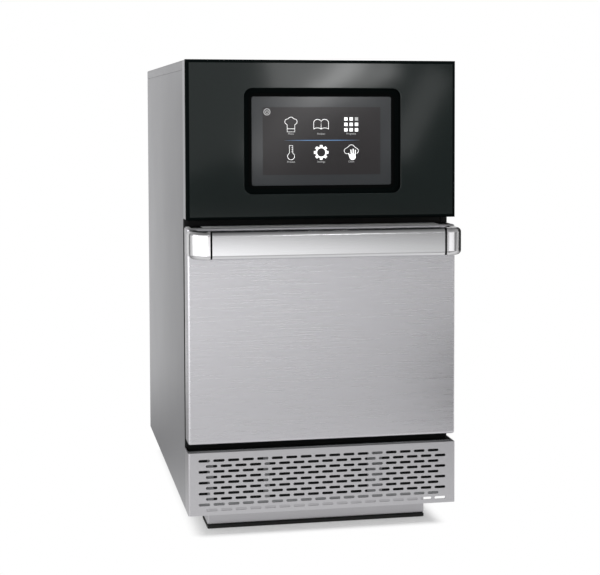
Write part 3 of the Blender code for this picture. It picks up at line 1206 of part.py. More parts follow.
# Shelf above the cavity, with the power board on it.
shelf_z = blanket_top + SHELF_HEIGHT
shelf_front = frame_back + SHELF_SETBACK
shelf_back = shelf_front + SHELF_DEPTH
shelf_path = [(-inside_half, shelf_z + SHELF_LIP), (-inside_half, shelf_z), (inside_half, shelf_z),
              (inside_half, shelf_z + SHELF_LIP)]
add_part("component_shelf", prism([folded_section(shelf_path)], "Y", shelf_front, shelf_back), DULL_STEEL)
shelf_top = shelf_z + SHEET
board_low = shelf_top + STANDOFF_HEIGHT
board_y = shelf_front + POWER_BOARD_SETBACK + POWER_BOARD_DEPTH / 2
power_board = add_part("power_board",
                       prism([centred_rectangle(0, board_y, POWER_BOARD_WIDTH, POWER_BOARD_DEPTH)], "Z",
                             board_low, board_low + BOARD_DEPTH), BOARD_GREEN)
standoffs = []
for sign_x in (-1, 1):
    for sign_y in (-1, 1):
        standoffs.append(circle(sign_x * (POWER_BOARD_WIDTH / 2 - STANDOFF_INSET),
                                board_y + sign_y * (POWER_BOARD_DEPTH / 2 - STANDOFF_INSET),
                                STANDOFF_RADIUS, steps=STANDOFF_STEPS))
shape_with(power_board, add_cutter("board_standoffs", prism(standoffs, "Z", shelf_top + SEAT,
                                                            board_low + BOARD_DEPTH / 2)), "UNION")

# Cord gland: a hollow fitting through the rear panel, with its nut inside.
gland_tip = casing_back + GLAND_REACH
gland_flange = rear_inside + SHEET + SEAT
gland_profile = [(GLAND_BORE_RADIUS, rear_inside - GLAND_INSIDE),
                 (GLAND_NECK_RADIUS, rear_inside - GLAND_INSIDE),
                 (GLAND_NECK_RADIUS, gland_flange), (GLAND_NUT_RADIUS, gland_flange),
                 (GLAND_NUT_RADIUS, gland_flange + GLAND_NUT_LENGTH),
                 (GLAND_NECK_RADIUS, gland_flange + GLAND_NUT_LENGTH),
                 (GLAND_NECK_RADIUS, gland_tip - BEND), (GLAND_NECK_RADIUS - BEND, gland_tip),
                 (GLAND_BORE_RADIUS, gland_tip)]
add_part("cord_gland", turned(gland_profile, (gland_x, 0, gland_z), "Y"), BLACK_PLASTIC)
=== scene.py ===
"""The looks of a compact high-speed countertop oven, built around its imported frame."""

import math

import bmesh
import bpy
from mathutils import Matrix, Vector


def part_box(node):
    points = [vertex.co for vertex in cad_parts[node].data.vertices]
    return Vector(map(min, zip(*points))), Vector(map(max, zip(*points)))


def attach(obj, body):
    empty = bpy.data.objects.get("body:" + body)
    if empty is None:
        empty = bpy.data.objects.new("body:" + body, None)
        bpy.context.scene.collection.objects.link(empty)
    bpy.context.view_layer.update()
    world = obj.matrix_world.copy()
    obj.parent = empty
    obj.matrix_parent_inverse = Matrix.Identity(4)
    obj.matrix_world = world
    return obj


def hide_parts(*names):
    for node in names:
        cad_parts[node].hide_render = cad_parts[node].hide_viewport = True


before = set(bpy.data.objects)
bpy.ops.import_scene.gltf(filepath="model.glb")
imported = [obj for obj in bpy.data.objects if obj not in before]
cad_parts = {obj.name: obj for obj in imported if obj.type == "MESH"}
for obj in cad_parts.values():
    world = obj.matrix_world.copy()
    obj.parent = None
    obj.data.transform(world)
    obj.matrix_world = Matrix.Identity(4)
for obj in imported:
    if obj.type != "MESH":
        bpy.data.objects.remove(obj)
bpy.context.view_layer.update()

# Studio. A pale floor that runs out to a white background, the camera at the photograph's
# viewpoint, soft lamps high and low around the oven, and grey flags that polished faces mirror.
VIEWPOINT = (-0.3852, -2.3673, 0.5517)
LOOK_DOWN = 0.055
LOOK_RIGHT = 0.2291
LENS_MM = 97.07
SENSOR_MM = 36.0
RISE_OF_FRAME = -0.1428
SLIDE_OF_FRAME = -0.1609
FLOOR_SIZE = 30.0
FLOOR_DROP = 0.0003
FLOOR_WHITE = "#F6F6F6"
SHADOW_REACH = 0.026        # the floor's shadow fades into the background over this, from the footprint out
SHADOW_SHARE = 0.65         # how much of the shaded floor shows at the footprint; the rest is plain white
FOOTPRINT = (0.15, 0.27)    # half width and half depth of what stands on the floor
FRONT_HORIZON = 0.20        # how bright the room's far parts are where polished faces mirror them
REAR_HORIZON = 0.72
WALL_GREY = 0.40
CEILING_GREY = 0.16
HORIZON_TURN = 0.3          # the two horizons blend over this much to either side
WALL_RISE = 0.25            # looking up this much, the horizon has turned into wall, and
CEILING_START = 0.4         # from here up the wall darkens to the ceiling
SKY_STRENGTH = 0.62
FLOOR_RAMPS = (             # how bright the mirrored floor is: name, axis, the ramp's ends, its value at each
    ("front_level", "Y", (-0.9, -4.2), (0.42, 1.68), "LINEAR"),    # from the oven forward
    ("side_share", "X", (-1.2, 1.2), (1.75, 0.45), "LINEAR"),      # brighter on the left than on the right
    ("foot_share", "Y", (-1.0, -0.6), (0.0, 1.0), "LINEAR"),       # the part close to the oven's front
    ("rear_level", "Y", (0.3, 1.1), (0.25, 0.76), "LINEAR"),       # from the oven's side backward
    ("rear_share", "Y", (-0.5, 0.5), (0.0, 1.0), "SMOOTHSTEP"))    # where front turns into rear
FOOT_LEVEL = 0.80           # how bright it is close to the oven's front
FLOOR_END = (4.4, 6.6)      # past this the mirrored floor is as bright as the horizon


def linear(hex_colour):
    """An sRGB hex colour as linear red, green, blue and alpha."""
    channels = [int(hex_colour[start:start + 2], 16) / 255 for start in (1, 3, 5)]
    bent = [value / 12.92 if value <= 0.04045 else ((value + 0.055) / 1.055) ** 2.4 for value in channels]
    return (*bent, 1.0)


def add_node(tree, kind, settings=None, links=None):
    """Adds a node, sets its inputs or properties by name, and links its inputs."""
    node = tree.nodes.new(kind)
    for name, value in (settings or {}).items():
        if isinstance(name, int) or name in node.inputs:
            node.inputs[name].default_value = value
        else:
            setattr(node, name, value)
    for name, socket in (links or {}).items():
        tree.links.new(socket, node.inputs[name])
    return node


def start_material(name, colour, roughness, metallic=0.0, **sockets):
    """A material whose shader has the values that are the same all over, and its object coordinates."""
    material = bpy.data.materials.new(name)
    material.use_nodes = True
    tree = material.node_tree
    shader = tree.nodes["Principled BSDF"]
    shader.inputs["Base Color"].default_value = linear(colour)
    shader.inputs["Roughness"].default_value = roughness
    shader.inputs["Metallic"].default_value = metallic
    for socket, value in sockets.items():
        shader.inputs[socket.replace("_", " ").title().replace("Ior", "IOR")].default_value = value
    place = add_node(tree, "ShaderNodeTexCoord").outputs["Object"]
    return material, tree, shader, place


def add_object(name, data):
    """A new object in the scene, made of a mesh, a lamp or a camera."""
    thing = bpy.data.objects.new(name, data)
    bpy.context.scene.collection.objects.link(thing)
    return thing


def studio_sheet(name, size, place, tilt, material):
    """A flat sheet of the studio, its middle at a place, tilted about the X axis."""
    shape = bmesh.new()
    bmesh.ops.create_grid(shape, x_segments=1, y_segments=1, size=0.5)
    scale = Matrix.Diagonal((*size, 1, 1))
    bmesh.ops.transform(shape, matrix=Matrix.Translation(place) @ Matrix.Rotation(tilt, 4, "X") @ scale,
                        verts=shape.verts[:])
    mesh = bpy.data.meshes.new(name)
    shape.to_mesh(mesh)
    shape.free()
    mesh.materials.append(material)
    return add_object(name, mesh)


camera_data = bpy.data.cameras.new("photo_camera")
camera_data.lens = LENS_MM
camera_data.sensor_width = SENSOR_MM
camera_data.shift_x = SLIDE_OF_FRAME
camera_data.shift_y = RISE_OF_FRAME
camera_data.clip_end = 100.0
camera = add_object("photo_camera", camera_data)
camera.location = VIEWPOINT
camera.rotation_euler = (math.pi / 2 - LOOK_DOWN, 0, -LOOK_RIGHT)
bpy.context.scene.camera = camera
bpy.context.scene.view_settings.view_transform = "Standard"

# White matte paint: hardly a highlight, and as bright as the background away from the shadow.
floor_paint, paint_tree, paint, spot = start_material("matte_white_floor", FLOOR_WHITE, 0.85,
                                                      specular_ior_level=0.1)
spot_split = add_node(paint_tree, "ShaderNodeSeparateXYZ", {}, {0: spot})
spot_size = add_node(paint_tree, "ShaderNodeVectorMath", {"operation": "ABSOLUTE"}, {0: spot})
past_foot = add_node(paint_tree, "ShaderNodeVectorMath", {"operation": "SUBTRACT", 1: (*FOOTPRINT, 0)},
                     {0: spot_size.outputs[0]})
outside = add_node(paint_tree, "ShaderNodeVectorMath", {"operation": "MAXIMUM", 1: (0, 0, 0)},
                   {0: past_foot.outputs[0]})
foot_reach = add_node(paint_tree, "ShaderNodeVectorMath", {"operation": "LENGTH"}, {0: outside.outputs[0]})
plain = add_node(paint_tree, "ShaderNodeMapRange", {"From Max": SHADOW_REACH, "To Min": 1 - SHADOW_SHARE,
                                                    "interpolation_type": "SMOOTHSTEP"},
                 {0: foot_reach.outputs["Value"]})
floor_ray = add_node(paint_tree, "ShaderNodeLightPath")
floor_seen = add_node(paint_tree, "ShaderNodeMath", {"operation": "ADD", "use_clamp": True},
                      {0: floor_ray.outputs["Is Camera Ray"], 1: floor_ray.outputs["Is Glossy Ray"]})
floor_through = add_node(paint_tree, "ShaderNodeMath", {"operation": "ADD", "use_clamp": True},
                         {0: floor_seen.outputs[0], 1: floor_ray.outputs["Is Transmission Ray"]})
plain_share = add_node(paint_tree, "ShaderNodeMath", {"operation": "MULTIPLY"},
                       {0: plain.outputs[0], 1: floor_through.outputs[0]})
ramp = {}
for name, axis, (start, end), (first, last), easing in FLOOR_RAMPS:
    ramp[name] = add_node(paint_tree, "ShaderNodeMapRange",
                          {"From Min": start, "From Max": end, "To Min": first, "To Max": last,
                           "interpolation_type": easing}, {0: spot_split.outputs[axis]}).outputs[0]
floor_reach = add_node(paint_tree, "ShaderNodeVectorMath", {"operation": "LENGTH"}, {0: spot})
room_share = add_node(paint_tree, "ShaderNodeMapRange",
                      {"From Min": FLOOR_END[0], "From Max": FLOOR_END[1],
                       "interpolation_type": "SMOOTHSTEP"}, {0: floor_reach.outputs["Value"]})
front_right = add_node(paint_tree, "ShaderNodeMath", {"operation": "MULTIPLY"},
                       {0: ramp["front_level"], 1: ramp["side_share"]})
foot_level = add_node(paint_tree, "ShaderNodeMix", {"B": FOOT_LEVEL},
                      {0: ramp["foot_share"], 2: front_right.outputs[0]})
near_level = add_node(paint_tree, "ShaderNodeMix", {},
                      {0: ramp["rear_share"], 2: foot_level.outputs[0], 3: ramp["rear_level"]})
far_level = add_node(paint_tree, "ShaderNodeMix", {"A": FRONT_HORIZON, "B": REAR_HORIZON},
                     {0: ramp["rear_share"]})
reflected = add_node(paint_tree, "ShaderNodeMix", {},
                     {0: room_share.outputs[0], 2: near_level.outputs[0], 3: far_level.outputs[0]})
floor_level = add_node(paint_tree, "ShaderNodeMix", {"A": 1.0},
                       {0: floor_ray.outputs["Is Glossy Ray"], 3: reflected.outputs[0]})
glow = add_node(paint_tree, "ShaderNodeEmission", {"Color": (1, 1, 1, 1)},
                {"Strength": floor_level.outputs[0]})
floor_mix = add_node(paint_tree, "ShaderNodeMixShader", {},
                     {0: plain_share.outputs[0], 1: paint.outputs[0], 2: glow.outputs[0]})
paint_tree.links.new(floor_mix.outputs[0], paint_tree.nodes["Material Output"].inputs["Surface"])
floor = studio_sheet("floor", (FLOOR_SIZE, FLOOR_SIZE), (0, 0, -FLOOR_DROP), 0, floor_paint)

world = bpy.data.worlds.new("studio_world")
world.use_nodes = True
bpy.context.scene.world = world
sky = world.node_tree
sky.nodes.clear()
ray = add_node(sky, "ShaderNodeLightPath")
seen = add_node(sky, "ShaderNodeMath", {"operation": "ADD", "use_clamp": True},
                {0: ray.outputs["Is Camera Ray"], 1: ray.outputs["Is Transmission Ray"]})
direction = add_node(sky, "ShaderNodeTexCoord")
heading = add_node(sky, "ShaderNodeSeparateXYZ", {}, {0: direction.outputs["Generated"]})
rearward = add_node(sky, "ShaderNodeMapRange", {"From Min": -HORIZON_TURN, "From Max": HORIZON_TURN},
                    {0: heading.outputs["Y"]})
horizon = add_node(sky, "ShaderNodeMix", {"A": FRONT_HORIZON, "B": REAR_HORIZON}, {0: rearward.outputs[0]})
climb = add_node(sky, "ShaderNodeMapRange", {"From Max": WALL_RISE, "interpolation_type": "SMOOTHSTEP"},
                 {0: heading.outputs["Z"]})
ceiling = add_node(sky, "ShaderNodeMapRange",
                   {"From Min": CEILING_START, "To Min": WALL_GREY, "To Max": CEILING_GREY},
                   {0: heading.outputs["Z"]})
room_grey = add_node(sky, "ShaderNodeMix", {},
                     {0: climb.outputs[0], 2: horizon.outputs[0], 3: ceiling.outputs[0]})
lit = add_node(sky, "ShaderNodeBackground", {"Color": (1, 1, 1, 1), "Strength": SKY_STRENGTH})
mirrored = add_node(sky, "ShaderNodeBackground", {"Color": (1, 1, 1, 1)}, {"Strength": room_grey.outputs[0]})
white = add_node(sky, "ShaderNodeBackground", {"Color": (1, 1, 1, 1), "Strength": 1.0})
glossy_mix = add_node(sky, "ShaderNodeMixShader", {},
                      {0: ray.outputs["Is Glossy Ray"], 1: lit.outputs[0], 2: mirrored.outputs[0]})
sky_mix = add_node(sky, "ShaderNodeMixShader", {},
                   {0: seen.outputs[0], 1: glossy_mix.outputs[0], 2: white.outputs[0]})
add_node(sky, "ShaderNodeOutputWorld", {}, {"Surface": sky_mix.outputs[0]})

OVEN_MIDDLE = (0, 0, 0.3)
LEFT_CAP = (-0.17, -0.33, 0.38)
PANEL = (0.05, -0.3, 0.55)
LAMPS = (       # name, place, what it faces, size, watts, lean in degrees, whether polished faces mirror it
    ("front_right_lamp", (1.5, -1.9, 2.7), (0, 0, 0.35), (1.8, 1.8), 50, 0, False),
    ("overhead_lamp", (0.3, 0.2, 2.8), OVEN_MIDDLE, (2.0, 2.0), 30, 0, False),
    ("rear_lamp", (-1.6, 2.4, 1.6), OVEN_MIDDLE, (1.6, 1.6), 22, 0, False),
    ("left_lamp", (-1.9, -2.2, 0.80), LEFT_CAP, (3.2, 1.5), 22, 0, True),
    ("left_side_lamp", (-2.45, -0.25, 0.80), LEFT_CAP, (1.7, 1.5), 8, 0, True),
    ("panel_glow_lamp", (0.58, -3.3, 0.72), PANEL, (0.40, 0.18), 0.62, 12, True),
    ("panel_left_lamp", (0.14, -3.3, 0.63), PANEL, (0.50, 0.50), 0.30, 25, True),
    ("panel_streak_lamp", (0.50, -3.3, 0.56), PANEL, (0.46, 0.08), 0.34, 46, True),
    ("panel_top_streak_lamp", (0.60, -3.3, 0.66), PANEL, (0.24, 0.05), 0.12, 44, True),
    ("panel_thin_streak_lamp", (0.72, -3.3, 0.65), PANEL, (0.20, 0.03), 0.06, 34, True),
    ("panel_right_streak_lamp", (0.87, -3.3, 0.555), PANEL, (0.32, 0.09), 0.10, 62, True),
    ("right_lamp", (1.9, -2.0, 0.34), (0.165, -0.34, 0.385), (1.6, 0.8), 3.2, 0, True))
for name, place, target, size, power, lean, mirrored in LAMPS:
    lamp_data = bpy.data.lights.new(name, "AREA")
    lamp_data.shape = "RECTANGLE"
    lamp_data.size, lamp_data.size_y = size
    lamp_data.energy = power
    lamp = add_object(name, lamp_data)
    lamp.location = place
    facing = (Vector(target) - Vector(place)).to_track_quat("-Z", "Y").to_matrix().to_4x4()
    lamp.rotation_euler = (facing @ Matrix.Rotation(math.radians(lean), 4, "Z")).to_euler()
    lamp.visible_glossy = mirrored

FLAGS = (       # name, middle, width and height, grey; they show in reflections only
    ("right_flag", (0.76, -1.0, 0.03), (0.84, 0.22), "#121212"),
    ("left_flag", (-0.63, 0.45, 0.31), (0.5, 0.62), "#818181"),
    ("rear_flag", (2.0, 0.6, 0.55), (3.0, 1.5), "#353535"))
for name, place, size, grey in FLAGS:
    flag_cloth, flag_tree, *_ = start_material(name + "_cloth", grey, 1.0)
    flag_glow = add_node(flag_tree, "ShaderNodeEmission", {"Color": linear(grey)})
    flag_tree.links.new(flag_glow.outputs[0], flag_tree.nodes["Material Output"].inputs["Surface"])
    flag = studio_sheet(name, size, place, math.pi / 2, flag_cloth)
    flag.visible_camera = flag.visible_diffuse = flag.visible_shadow = flag.visible_transmission = False

# Casing. The oven's body is folded from 1.2 mm stainless sheet with a fine ground finish: two side
# panels, a top cover whose lip hides the seam, a vented rear panel, and a base tray. The panels
# are spot welded or screwed to the front frame. The frame and the panels' front edges are painted
# black as painted shade, standing in for the shadow in the gaps round the door.
SHEET = 0.0012
SIDE_BEND = 0.0022
FLANGE_STEP = 0.002         # how much narrower a side panel's front flange is than its rear one
SCREW_RADIUS = 0.0034
SCREW_INSET = 0.016
SCREW_HEIGHTS = (0.04, 0.35, 0.65, 0.96)    # as shares of the rear panel's height
WELD = 0.000005             # points closer than this are one
NEAR = 0.001                # points this close to a face count as on it
GRAIN_WIDTH = 0.0011        # real grinding lines are 0.1 mm, too fine to show, so ten times as coarse
GRAIN_LENGTH = 0.070
GRAIN_GLOSS = 0.05          # how far the streaks take the roughness to either side
NOISE_SPAN = (0.3, 0.7)     # noise seldom goes past these values
CLOUD_SCALE = 9.0           # broad patches to the metre
CLOUD_GLOSS = 0.06          # how much roughness they add at most


def ground_stainless(name, colour, roughness, grain_axis, depth=0.00002, contrast=0.06):
    """Ground stainless: long soft streaks along the grain that break up the highlight."""
    material, tree, shader, place = start_material(name, colour, roughness, 1.0)
    scale = [1 / GRAIN_WIDTH] * 3
    scale["XYZ".index(grain_axis)] = 1 / GRAIN_LENGTH
    stretched = add_node(tree, "ShaderNodeMapping", {"Scale": scale}, {"Vector": place})
    streaks = add_node(tree, "ShaderNodeTexNoise", {"Scale": 1.0, "Detail": 3.0, "Roughness": 0.6},
                       {"Vector": stretched.outputs[0]})
    cloud = add_node(tree, "ShaderNodeTexNoise", {"Scale": CLOUD_SCALE, "Detail": 2.0}, {"Vector": place})
    rough = add_node(tree, "ShaderNodeMapRange",
                     {"From Min": NOISE_SPAN[0], "From Max": NOISE_SPAN[1],
                      "To Min": roughness - GRAIN_GLOSS, "To Max": roughness + GRAIN_GLOSS},
                     {0: streaks.outputs[0]})
    cloudy = add_node(tree, "ShaderNodeMath", {"operation": "MULTIPLY_ADD", 1: CLOUD_GLOSS},
                      {0: cloud.outputs[0], 2: rough.outputs[0]})
    tree.links.new(cloudy.outputs[0], shader.inputs["Roughness"])
    darker = [value * (1 - contrast) for value in linear(colour)]
    lighter = [min(1, value * (1 + contrast)) for value in linear(colour)]
    tone = add_node(tree, "ShaderNodeMix", {"data_type": "RGBA", 6: darker, 7: lighter},
                    {0: streaks.outputs[0]})
    tree.links.new(tone.outputs[2], shader.inputs["Base Color"])
    bump = add_node(tree, "ShaderNodeBump", {"Strength": 0.5, "Distance": depth},
                    {"Height": streaks.outputs[0]})
    tree.links.new(bump.outputs[0], shader.inputs["Normal"])
    return material


def grained(name, colour, roughness, grain, depth, metallic=0.0, **sockets):
    """A surface with relief of a given width and depth, and gloss that varies with the relief."""
    material, tree, shader, place = start_material(name, colour, roughness, metallic, **sockets)
    relief = add_node(tree, "ShaderNodeTexNoise", {"Scale": 1 / grain, "Detail": 2.0}, {"Vector": place})
    gloss = add_node(tree, "ShaderNodeMapRange", {"To Min": roughness * 0.9, "To Max": roughness * 1.1},
                     {0: relief.outputs[0]})
    tree.links.new(gloss.outputs[0], shader.inputs["Roughness"])
    bump = add_node(tree, "ShaderNodeBump", {"Strength": 0.4, "Distance": depth},
                    {"Height": relief.outputs[0]})
    tree.links.new(bump.outputs[0], shader.inputs["Normal"])
    return material


def dress(material, *nodes):
    """Gives carried-over CAD nodes a material."""
    for node in nodes:
        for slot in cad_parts[node].material_slots:
            slot.material = material


def settle(piece, smooth_degrees=30):
    """Works a piece's modifiers into its mesh, and keeps its flats flat to the eye beside rounded edges."""
    if piece.modifiers:
        bpy.context.view_layer.update()
        finished = bpy.data.meshes.new_from_object(piece.evaluated_get(bpy.context.evaluated_depsgraph_get()))
        piece.modifiers.clear()
        before = piece.data
        piece.data = finished
        bpy.data.meshes.remove(before)
        finished.name = piece.name
    piece.data.shade_smooth()
    piece.data.set_sharp_from_angle(angle=math.radians(smooth_degrees))
    even = piece.modifiers.new("even_flats", "WEIGHTED_NORMAL")
    even.keep_sharp = True


def new_piece(name, shape, material, body, node, replaces=True, smooth_degrees=30, wall=0.0):
    """Makes a piece from a bmesh that is in place and hangs it on a body. If it stands for a CAD node, that
    node is hidden.
    """
    bmesh.ops.remove_doubles(shape, verts=shape.verts[:], dist=WELD)
    bmesh.ops.recalc_face_normals(shape, faces=shape.faces[:])
    mesh = bpy.data.meshes.new(name)
    shape.to_mesh(mesh)
    shape.free()
    piece = add_object(name, mesh)
    if wall:
        sheet = piece.modifiers.new("sheet", "SOLIDIFY")
        sheet.thickness = wall
        sheet.offset = -1.0
        sheet.use_even_offset = True
    mesh.materials.append(material)
    settle(piece, smooth_degrees)
    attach(piece, body)
    if replaces:
        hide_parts(node)
    return piece


# Ground sheet: soft streaks that run up the back, and from front to back over the top.
steel_upright = ground_stainless("ground_stainless_upright_grain", "#BFBFC2", 0.36, "Z")
steel_deep = ground_stainless("ground_stainless_front_to_back_grain", "#BEBEC1", 0.36, "Y")
mill_steel = ground_stainless("mill_finish_steel", "#A8A9AB", 0.48, "X")    # as rolled: duller and darker
dress(steel_upright, "rear_panel")
dress(steel_deep, "top_cover")
dress(mill_steel, "base_tray", "component_shelf")
# Painted shade: black for the shadowed gaps round the door, with a thin orange-peel grain and hardly any shine.
gap_shade_black = grained("painted_gap_shade_black", "#030404", 0.55, 0.002, 0.00006, specular_ior_level=0.25)
dress(gap_shade_black, "front_frame")


def block_shape(low, high):
    """A block between two corners, to be worked on."""
    shape = bmesh.new()
    bmesh.ops.create_cube(shape, size=1.0)
    low, high = Vector(low), Vector(high)
    bmesh.ops.scale(shape, vec=high - low, verts=shape.verts[:])
    bmesh.ops.translate(shape, vec=(low + high) / 2, verts=shape.verts[:])
    return shape


def span(edge, axis):
    """How far an edge runs along an axis."""
    return abs(getattr(edge.verts[0].co, axis) - getattr(edge.verts[1].co, axis))


def soften(shape, edges, radius, segments, clamp=True):
    """Rounds edges of a shape."""
    bmesh.ops.bevel(shape, geom=edges, offset=radius, offset_type="OFFSET", segments=segments, profile=0.5,
                    affect="EDGES", material=-1, clamp_overlap=clamp)


def raised_points(extruded):
    """The new points of an extrusion."""
    return [item for item in extruded["geom"] if isinstance(item, bmesh.types.BMVert)]


def join_shapes(shapes):
    """Several shapes as one."""
    joined = bmesh.new()
    for shape in shapes:
        part = bpy.data.meshes.new("part")
        shape.to_mesh(part)
        shape.free()
        joined.from_mesh(part)
        bpy.data.meshes.remove(part)
    return joined


def screw_shape(place, out, radius, turn):
    """A pan-head screw with a round drive recess, facing along out and turned about its own axis."""
    rise, crown_radius, rim_width, recess_depth = radius * 0.55, radius * 0.35, radius * 0.28, radius * 0.4
    shape = bmesh.new()
    bmesh.ops.create_circle(shape, cap_ends=True, segments=20, radius=radius)
    top = raised_points(bmesh.ops.extrude_face_region(shape, geom=shape.faces[:]))
    bmesh.ops.translate(shape, vec=(0, 0, rise), verts=top)
    crown = [edge for edge in shape.edges if all(vertex.co.z > rise / 2 for vertex in edge.verts)]
    soften(shape, crown, crown_radius, 3)
    face = max(shape.faces, key=lambda each: each.calc_center_median().z)
    bmesh.ops.inset_region(shape, faces=[face], thickness=rim_width, depth=0)
    bmesh.ops.inset_region(shape, faces=[face], thickness=radius * 0.05, depth=-recess_depth)
    facing = Vector(out).to_track_quat("Z", "Y").to_matrix().to_4x4()
    spin = Matrix.Rotation(turn, 4, "Z")
    bmesh.ops.transform(shape, matrix=Matrix.Translation(place) @ facing @ spin, verts=shape.verts[:])
    return shape


housing_low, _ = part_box("control_panel_housing")
# The side panels are ground finer than the back, so they look smoother and more even.
side_steel = ground_stainless("ground_stainless_side_panel", "#BBBBBE", 0.36, "Z", 0.000008, 0.03)
for side, sign in (("left", -1), ("right", 1)):
    panel_low, panel_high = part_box(side + "_side_panel")
    outer_x = max(abs(panel_low.x), abs(panel_high.x))
    panel_shape = block_shape(panel_low, panel_high)
    bmesh.ops.delete(panel_shape, geom=[face for face in panel_shape.faces
                                        if abs(face.normal.z) > 0.5 or face.normal.x * sign < -0.5],
                     context="FACES_ONLY")
    for vertex in panel_shape.verts:
        if vertex.co.y < 0 and abs(vertex.co.x) < outer_x - NEAR:
            vertex.co.x += sign * FLANGE_STEP
    corners = [edge for edge in panel_shape.edges if span(edge, "z") > SIDE_BEND
               and all(abs(vertex.co.x) > outer_x - NEAR for vertex in edge.verts)]
    soften(panel_shape, corners, SIDE_BEND, 5)
    everything = panel_shape.verts[:] + panel_shape.edges[:] + panel_shape.faces[:]
    bmesh.ops.bisect_plane(panel_shape, geom=everything, plane_co=housing_low, plane_no=(0, 0, 1))
    panel = new_piece(side + "_casing_side", panel_shape, side_steel, "oven", side + "_side_panel",
                      wall=SHEET)
    # The front flange and its bend are painted black: painted shade for the dark seam between the casing and
    # the door.
    panel.data.materials.append(gap_shade_black)
    for face in panel.data.polygons:
        forward = 0.4 if face.center.z < housing_low.z else 0.9    # the black edge is wider beside the door
        if face.center.y < panel_low.y + SIDE_BEND and -face.normal.y > forward:
            face.material_index = 1

rear_low, rear_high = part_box("rear_panel")
screw_places = [(edge_x, rear_high.y, rear_low.z + share * (rear_high.z - rear_low.z))
                for share in SCREW_HEIGHTS
                for edge_x in (rear_low.x + SCREW_INSET, rear_high.x - SCREW_INSET)]
# Zinc plating: a bright, fine satin.
screw_steel = grained("zinc_plated_screw_steel", "#C9CACC", 0.30, 0.0008, 0.00001, 1.0)
new_piece("rear_panel_screws", join_shapes([screw_shape(place, (0, 1, 0), SCREW_RADIUS, turn)
                                            for turn, place in enumerate(screw_places)]),
          screw_steel, "oven", "hinge_pin_left", replaces=False)

# Feet. Two shallow pans of stainless sheet across the front and the back carry the oven. Each is
# bedded on a strip of black rubber, cut from sheet, that keeps it from sliding on the counter.
PAN_BEND = 0.0025


def pan_shape(low, high, mouth_axis, bend, segments):
    """A block without its highest face along an axis, its corners rounded but for those round the mouth."""
    shape = block_shape(low, high)
    mouth = max(shape.faces, key=lambda each: getattr(each.calc_center_median(), mouth_axis))
    rim = set(mouth.edges)
    bmesh.ops.delete(shape, geom=[mouth], context="FACES_ONLY")
    soften(shape, [edge for edge in shape.edges if edge not in rim], bend, segments)
    return shape


# The feet's streaks run level, along their length.
foot_steel = ground_stainless("ground_stainless_foot_rail", "#C4C3C6", 0.34, "X")
for end in ("front", "rear"):
    new_piece(end + "_foot_pan", pan_shape(*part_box(end + "_foot_rail"), "z", PAN_BEND, 5), foot_steel, "oven",
              end + "_foot_rail", wall=SHEET)
# Neoprene: dull black, with the fine grain of its cut faces.
rubber = grained("cut_neoprene_rubber", "#161716", 0.78, 0.0011, 0.0001)
dress(rubber, "front_foot_rubber", "rear_foot_rubber")

# Control panel. A thick gloss black acrylic moulding with a bevelled rim, screwed from behind to a
# stainless housing. The screen sits at the bottom of a matte recess with rounded corners.
FASCIA_BEVEL = 0.0042
RECESS_RADIUS = 0.011
RECESS_HALF = (0.10335, 0.0685)
RECESS_DEPTH = 0.009
RECESS_LIP = 0.0007         # the small round at the recess's mouth
WINDOW_HALF = (0.09305, 0.0583)
WINDOW_RADIUS = 0.0033
SCREEN_Z = 0.5150
FACING_FRONT = 0.9995       # a face that looks less straight forward than this is part of a rounded edge
SHARP_TURN = 1.0            # two faces that meet at more than this, in radians, make a corner
fascia_low, fascia_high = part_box("control_panel_fascia")


def rounded_plate(half_width, half_height, radius, front, back):
    """An upright plate with rounded corners, centred on the screen."""
    shape = block_shape((-half_width, front, SCREEN_Z - half_height),
                        (half_width, back, SCREEN_Z + half_height))
    corners = [edge for edge in shape.edges if span(edge, "y") > (back - front) / 2]
    soften(shape, corners, radius, 8)
    return shape


def front_edges(shape, front):
    """The edges that lie wholly in front of a depth."""
    return [edge for edge in shape.edges if all(vertex.co.y < front for vertex in edge.verts)]


def carve(piece, cutter_shape):
    """Cuts a shape out of a piece for good."""
    bmesh.ops.recalc_face_normals(cutter_shape, faces=cutter_shape.faces[:])
    cutter_mesh = bpy.data.meshes.new("cutter")
    cutter_shape.to_mesh(cutter_mesh)
    cutter_shape.free()
    cutter = add_object("cutter", cutter_mesh)
    piece.modifiers.clear()
    cut = piece.modifiers.new("cut", "BOOLEAN")
    cut.solver = "EXACT"
    cut.object = cutter
    settle(piece)
    bpy.data.objects.remove(cutter)
    bpy.data.meshes.remove(cutter_mesh)


# Moulded acrylic: a deep black gloss with a faint long ripple.
acrylic = grained("gloss_black_acrylic", "#0B1312", 0.08, 0.07, 0.0001)
fascia_shape = block_shape(fascia_low, fascia_high)
soften(fascia_shape, front_edges(fascia_shape, fascia_low.y + RECESS_LIP), FASCIA_BEVEL, 6)
fascia = new_piece("gloss_fascia", fascia_shape, acrylic, "oven", "control_panel_fascia")
carve(fascia, rounded_plate(*RECESS_HALF, RECESS_RADIUS, fascia_low.y - RECESS_DEPTH,
                            fascia_low.y + RECESS_DEPTH))
carve(fascia, rounded_plate(*WINDOW_HALF, WINDOW_RADIUS, fascia_low.y, fascia_high.y + RECESS_DEPTH))
lip_shape = bmesh.new()
lip_shape.from_mesh(fascia.data)
lip_edges = [edge for edge in front_edges(lip_shape, fascia_low.y + RECESS_LIP / 10)
             if all(abs(vertex.co.x) < RECESS_HALF[0] + RECESS_LIP
                    and abs(vertex.co.z - SCREEN_Z) < RECESS_HALF[1] + RECESS_LIP for vertex in edge.verts)
             and edge.calc_face_angle(0) > SHARP_TURN]
soften(lip_shape, lip_edges, RECESS_LIP, 3)
lip_shape.to_mesh(fascia.data)
lip_shape.free()
fascia.modifiers.clear()
settle(fascia)
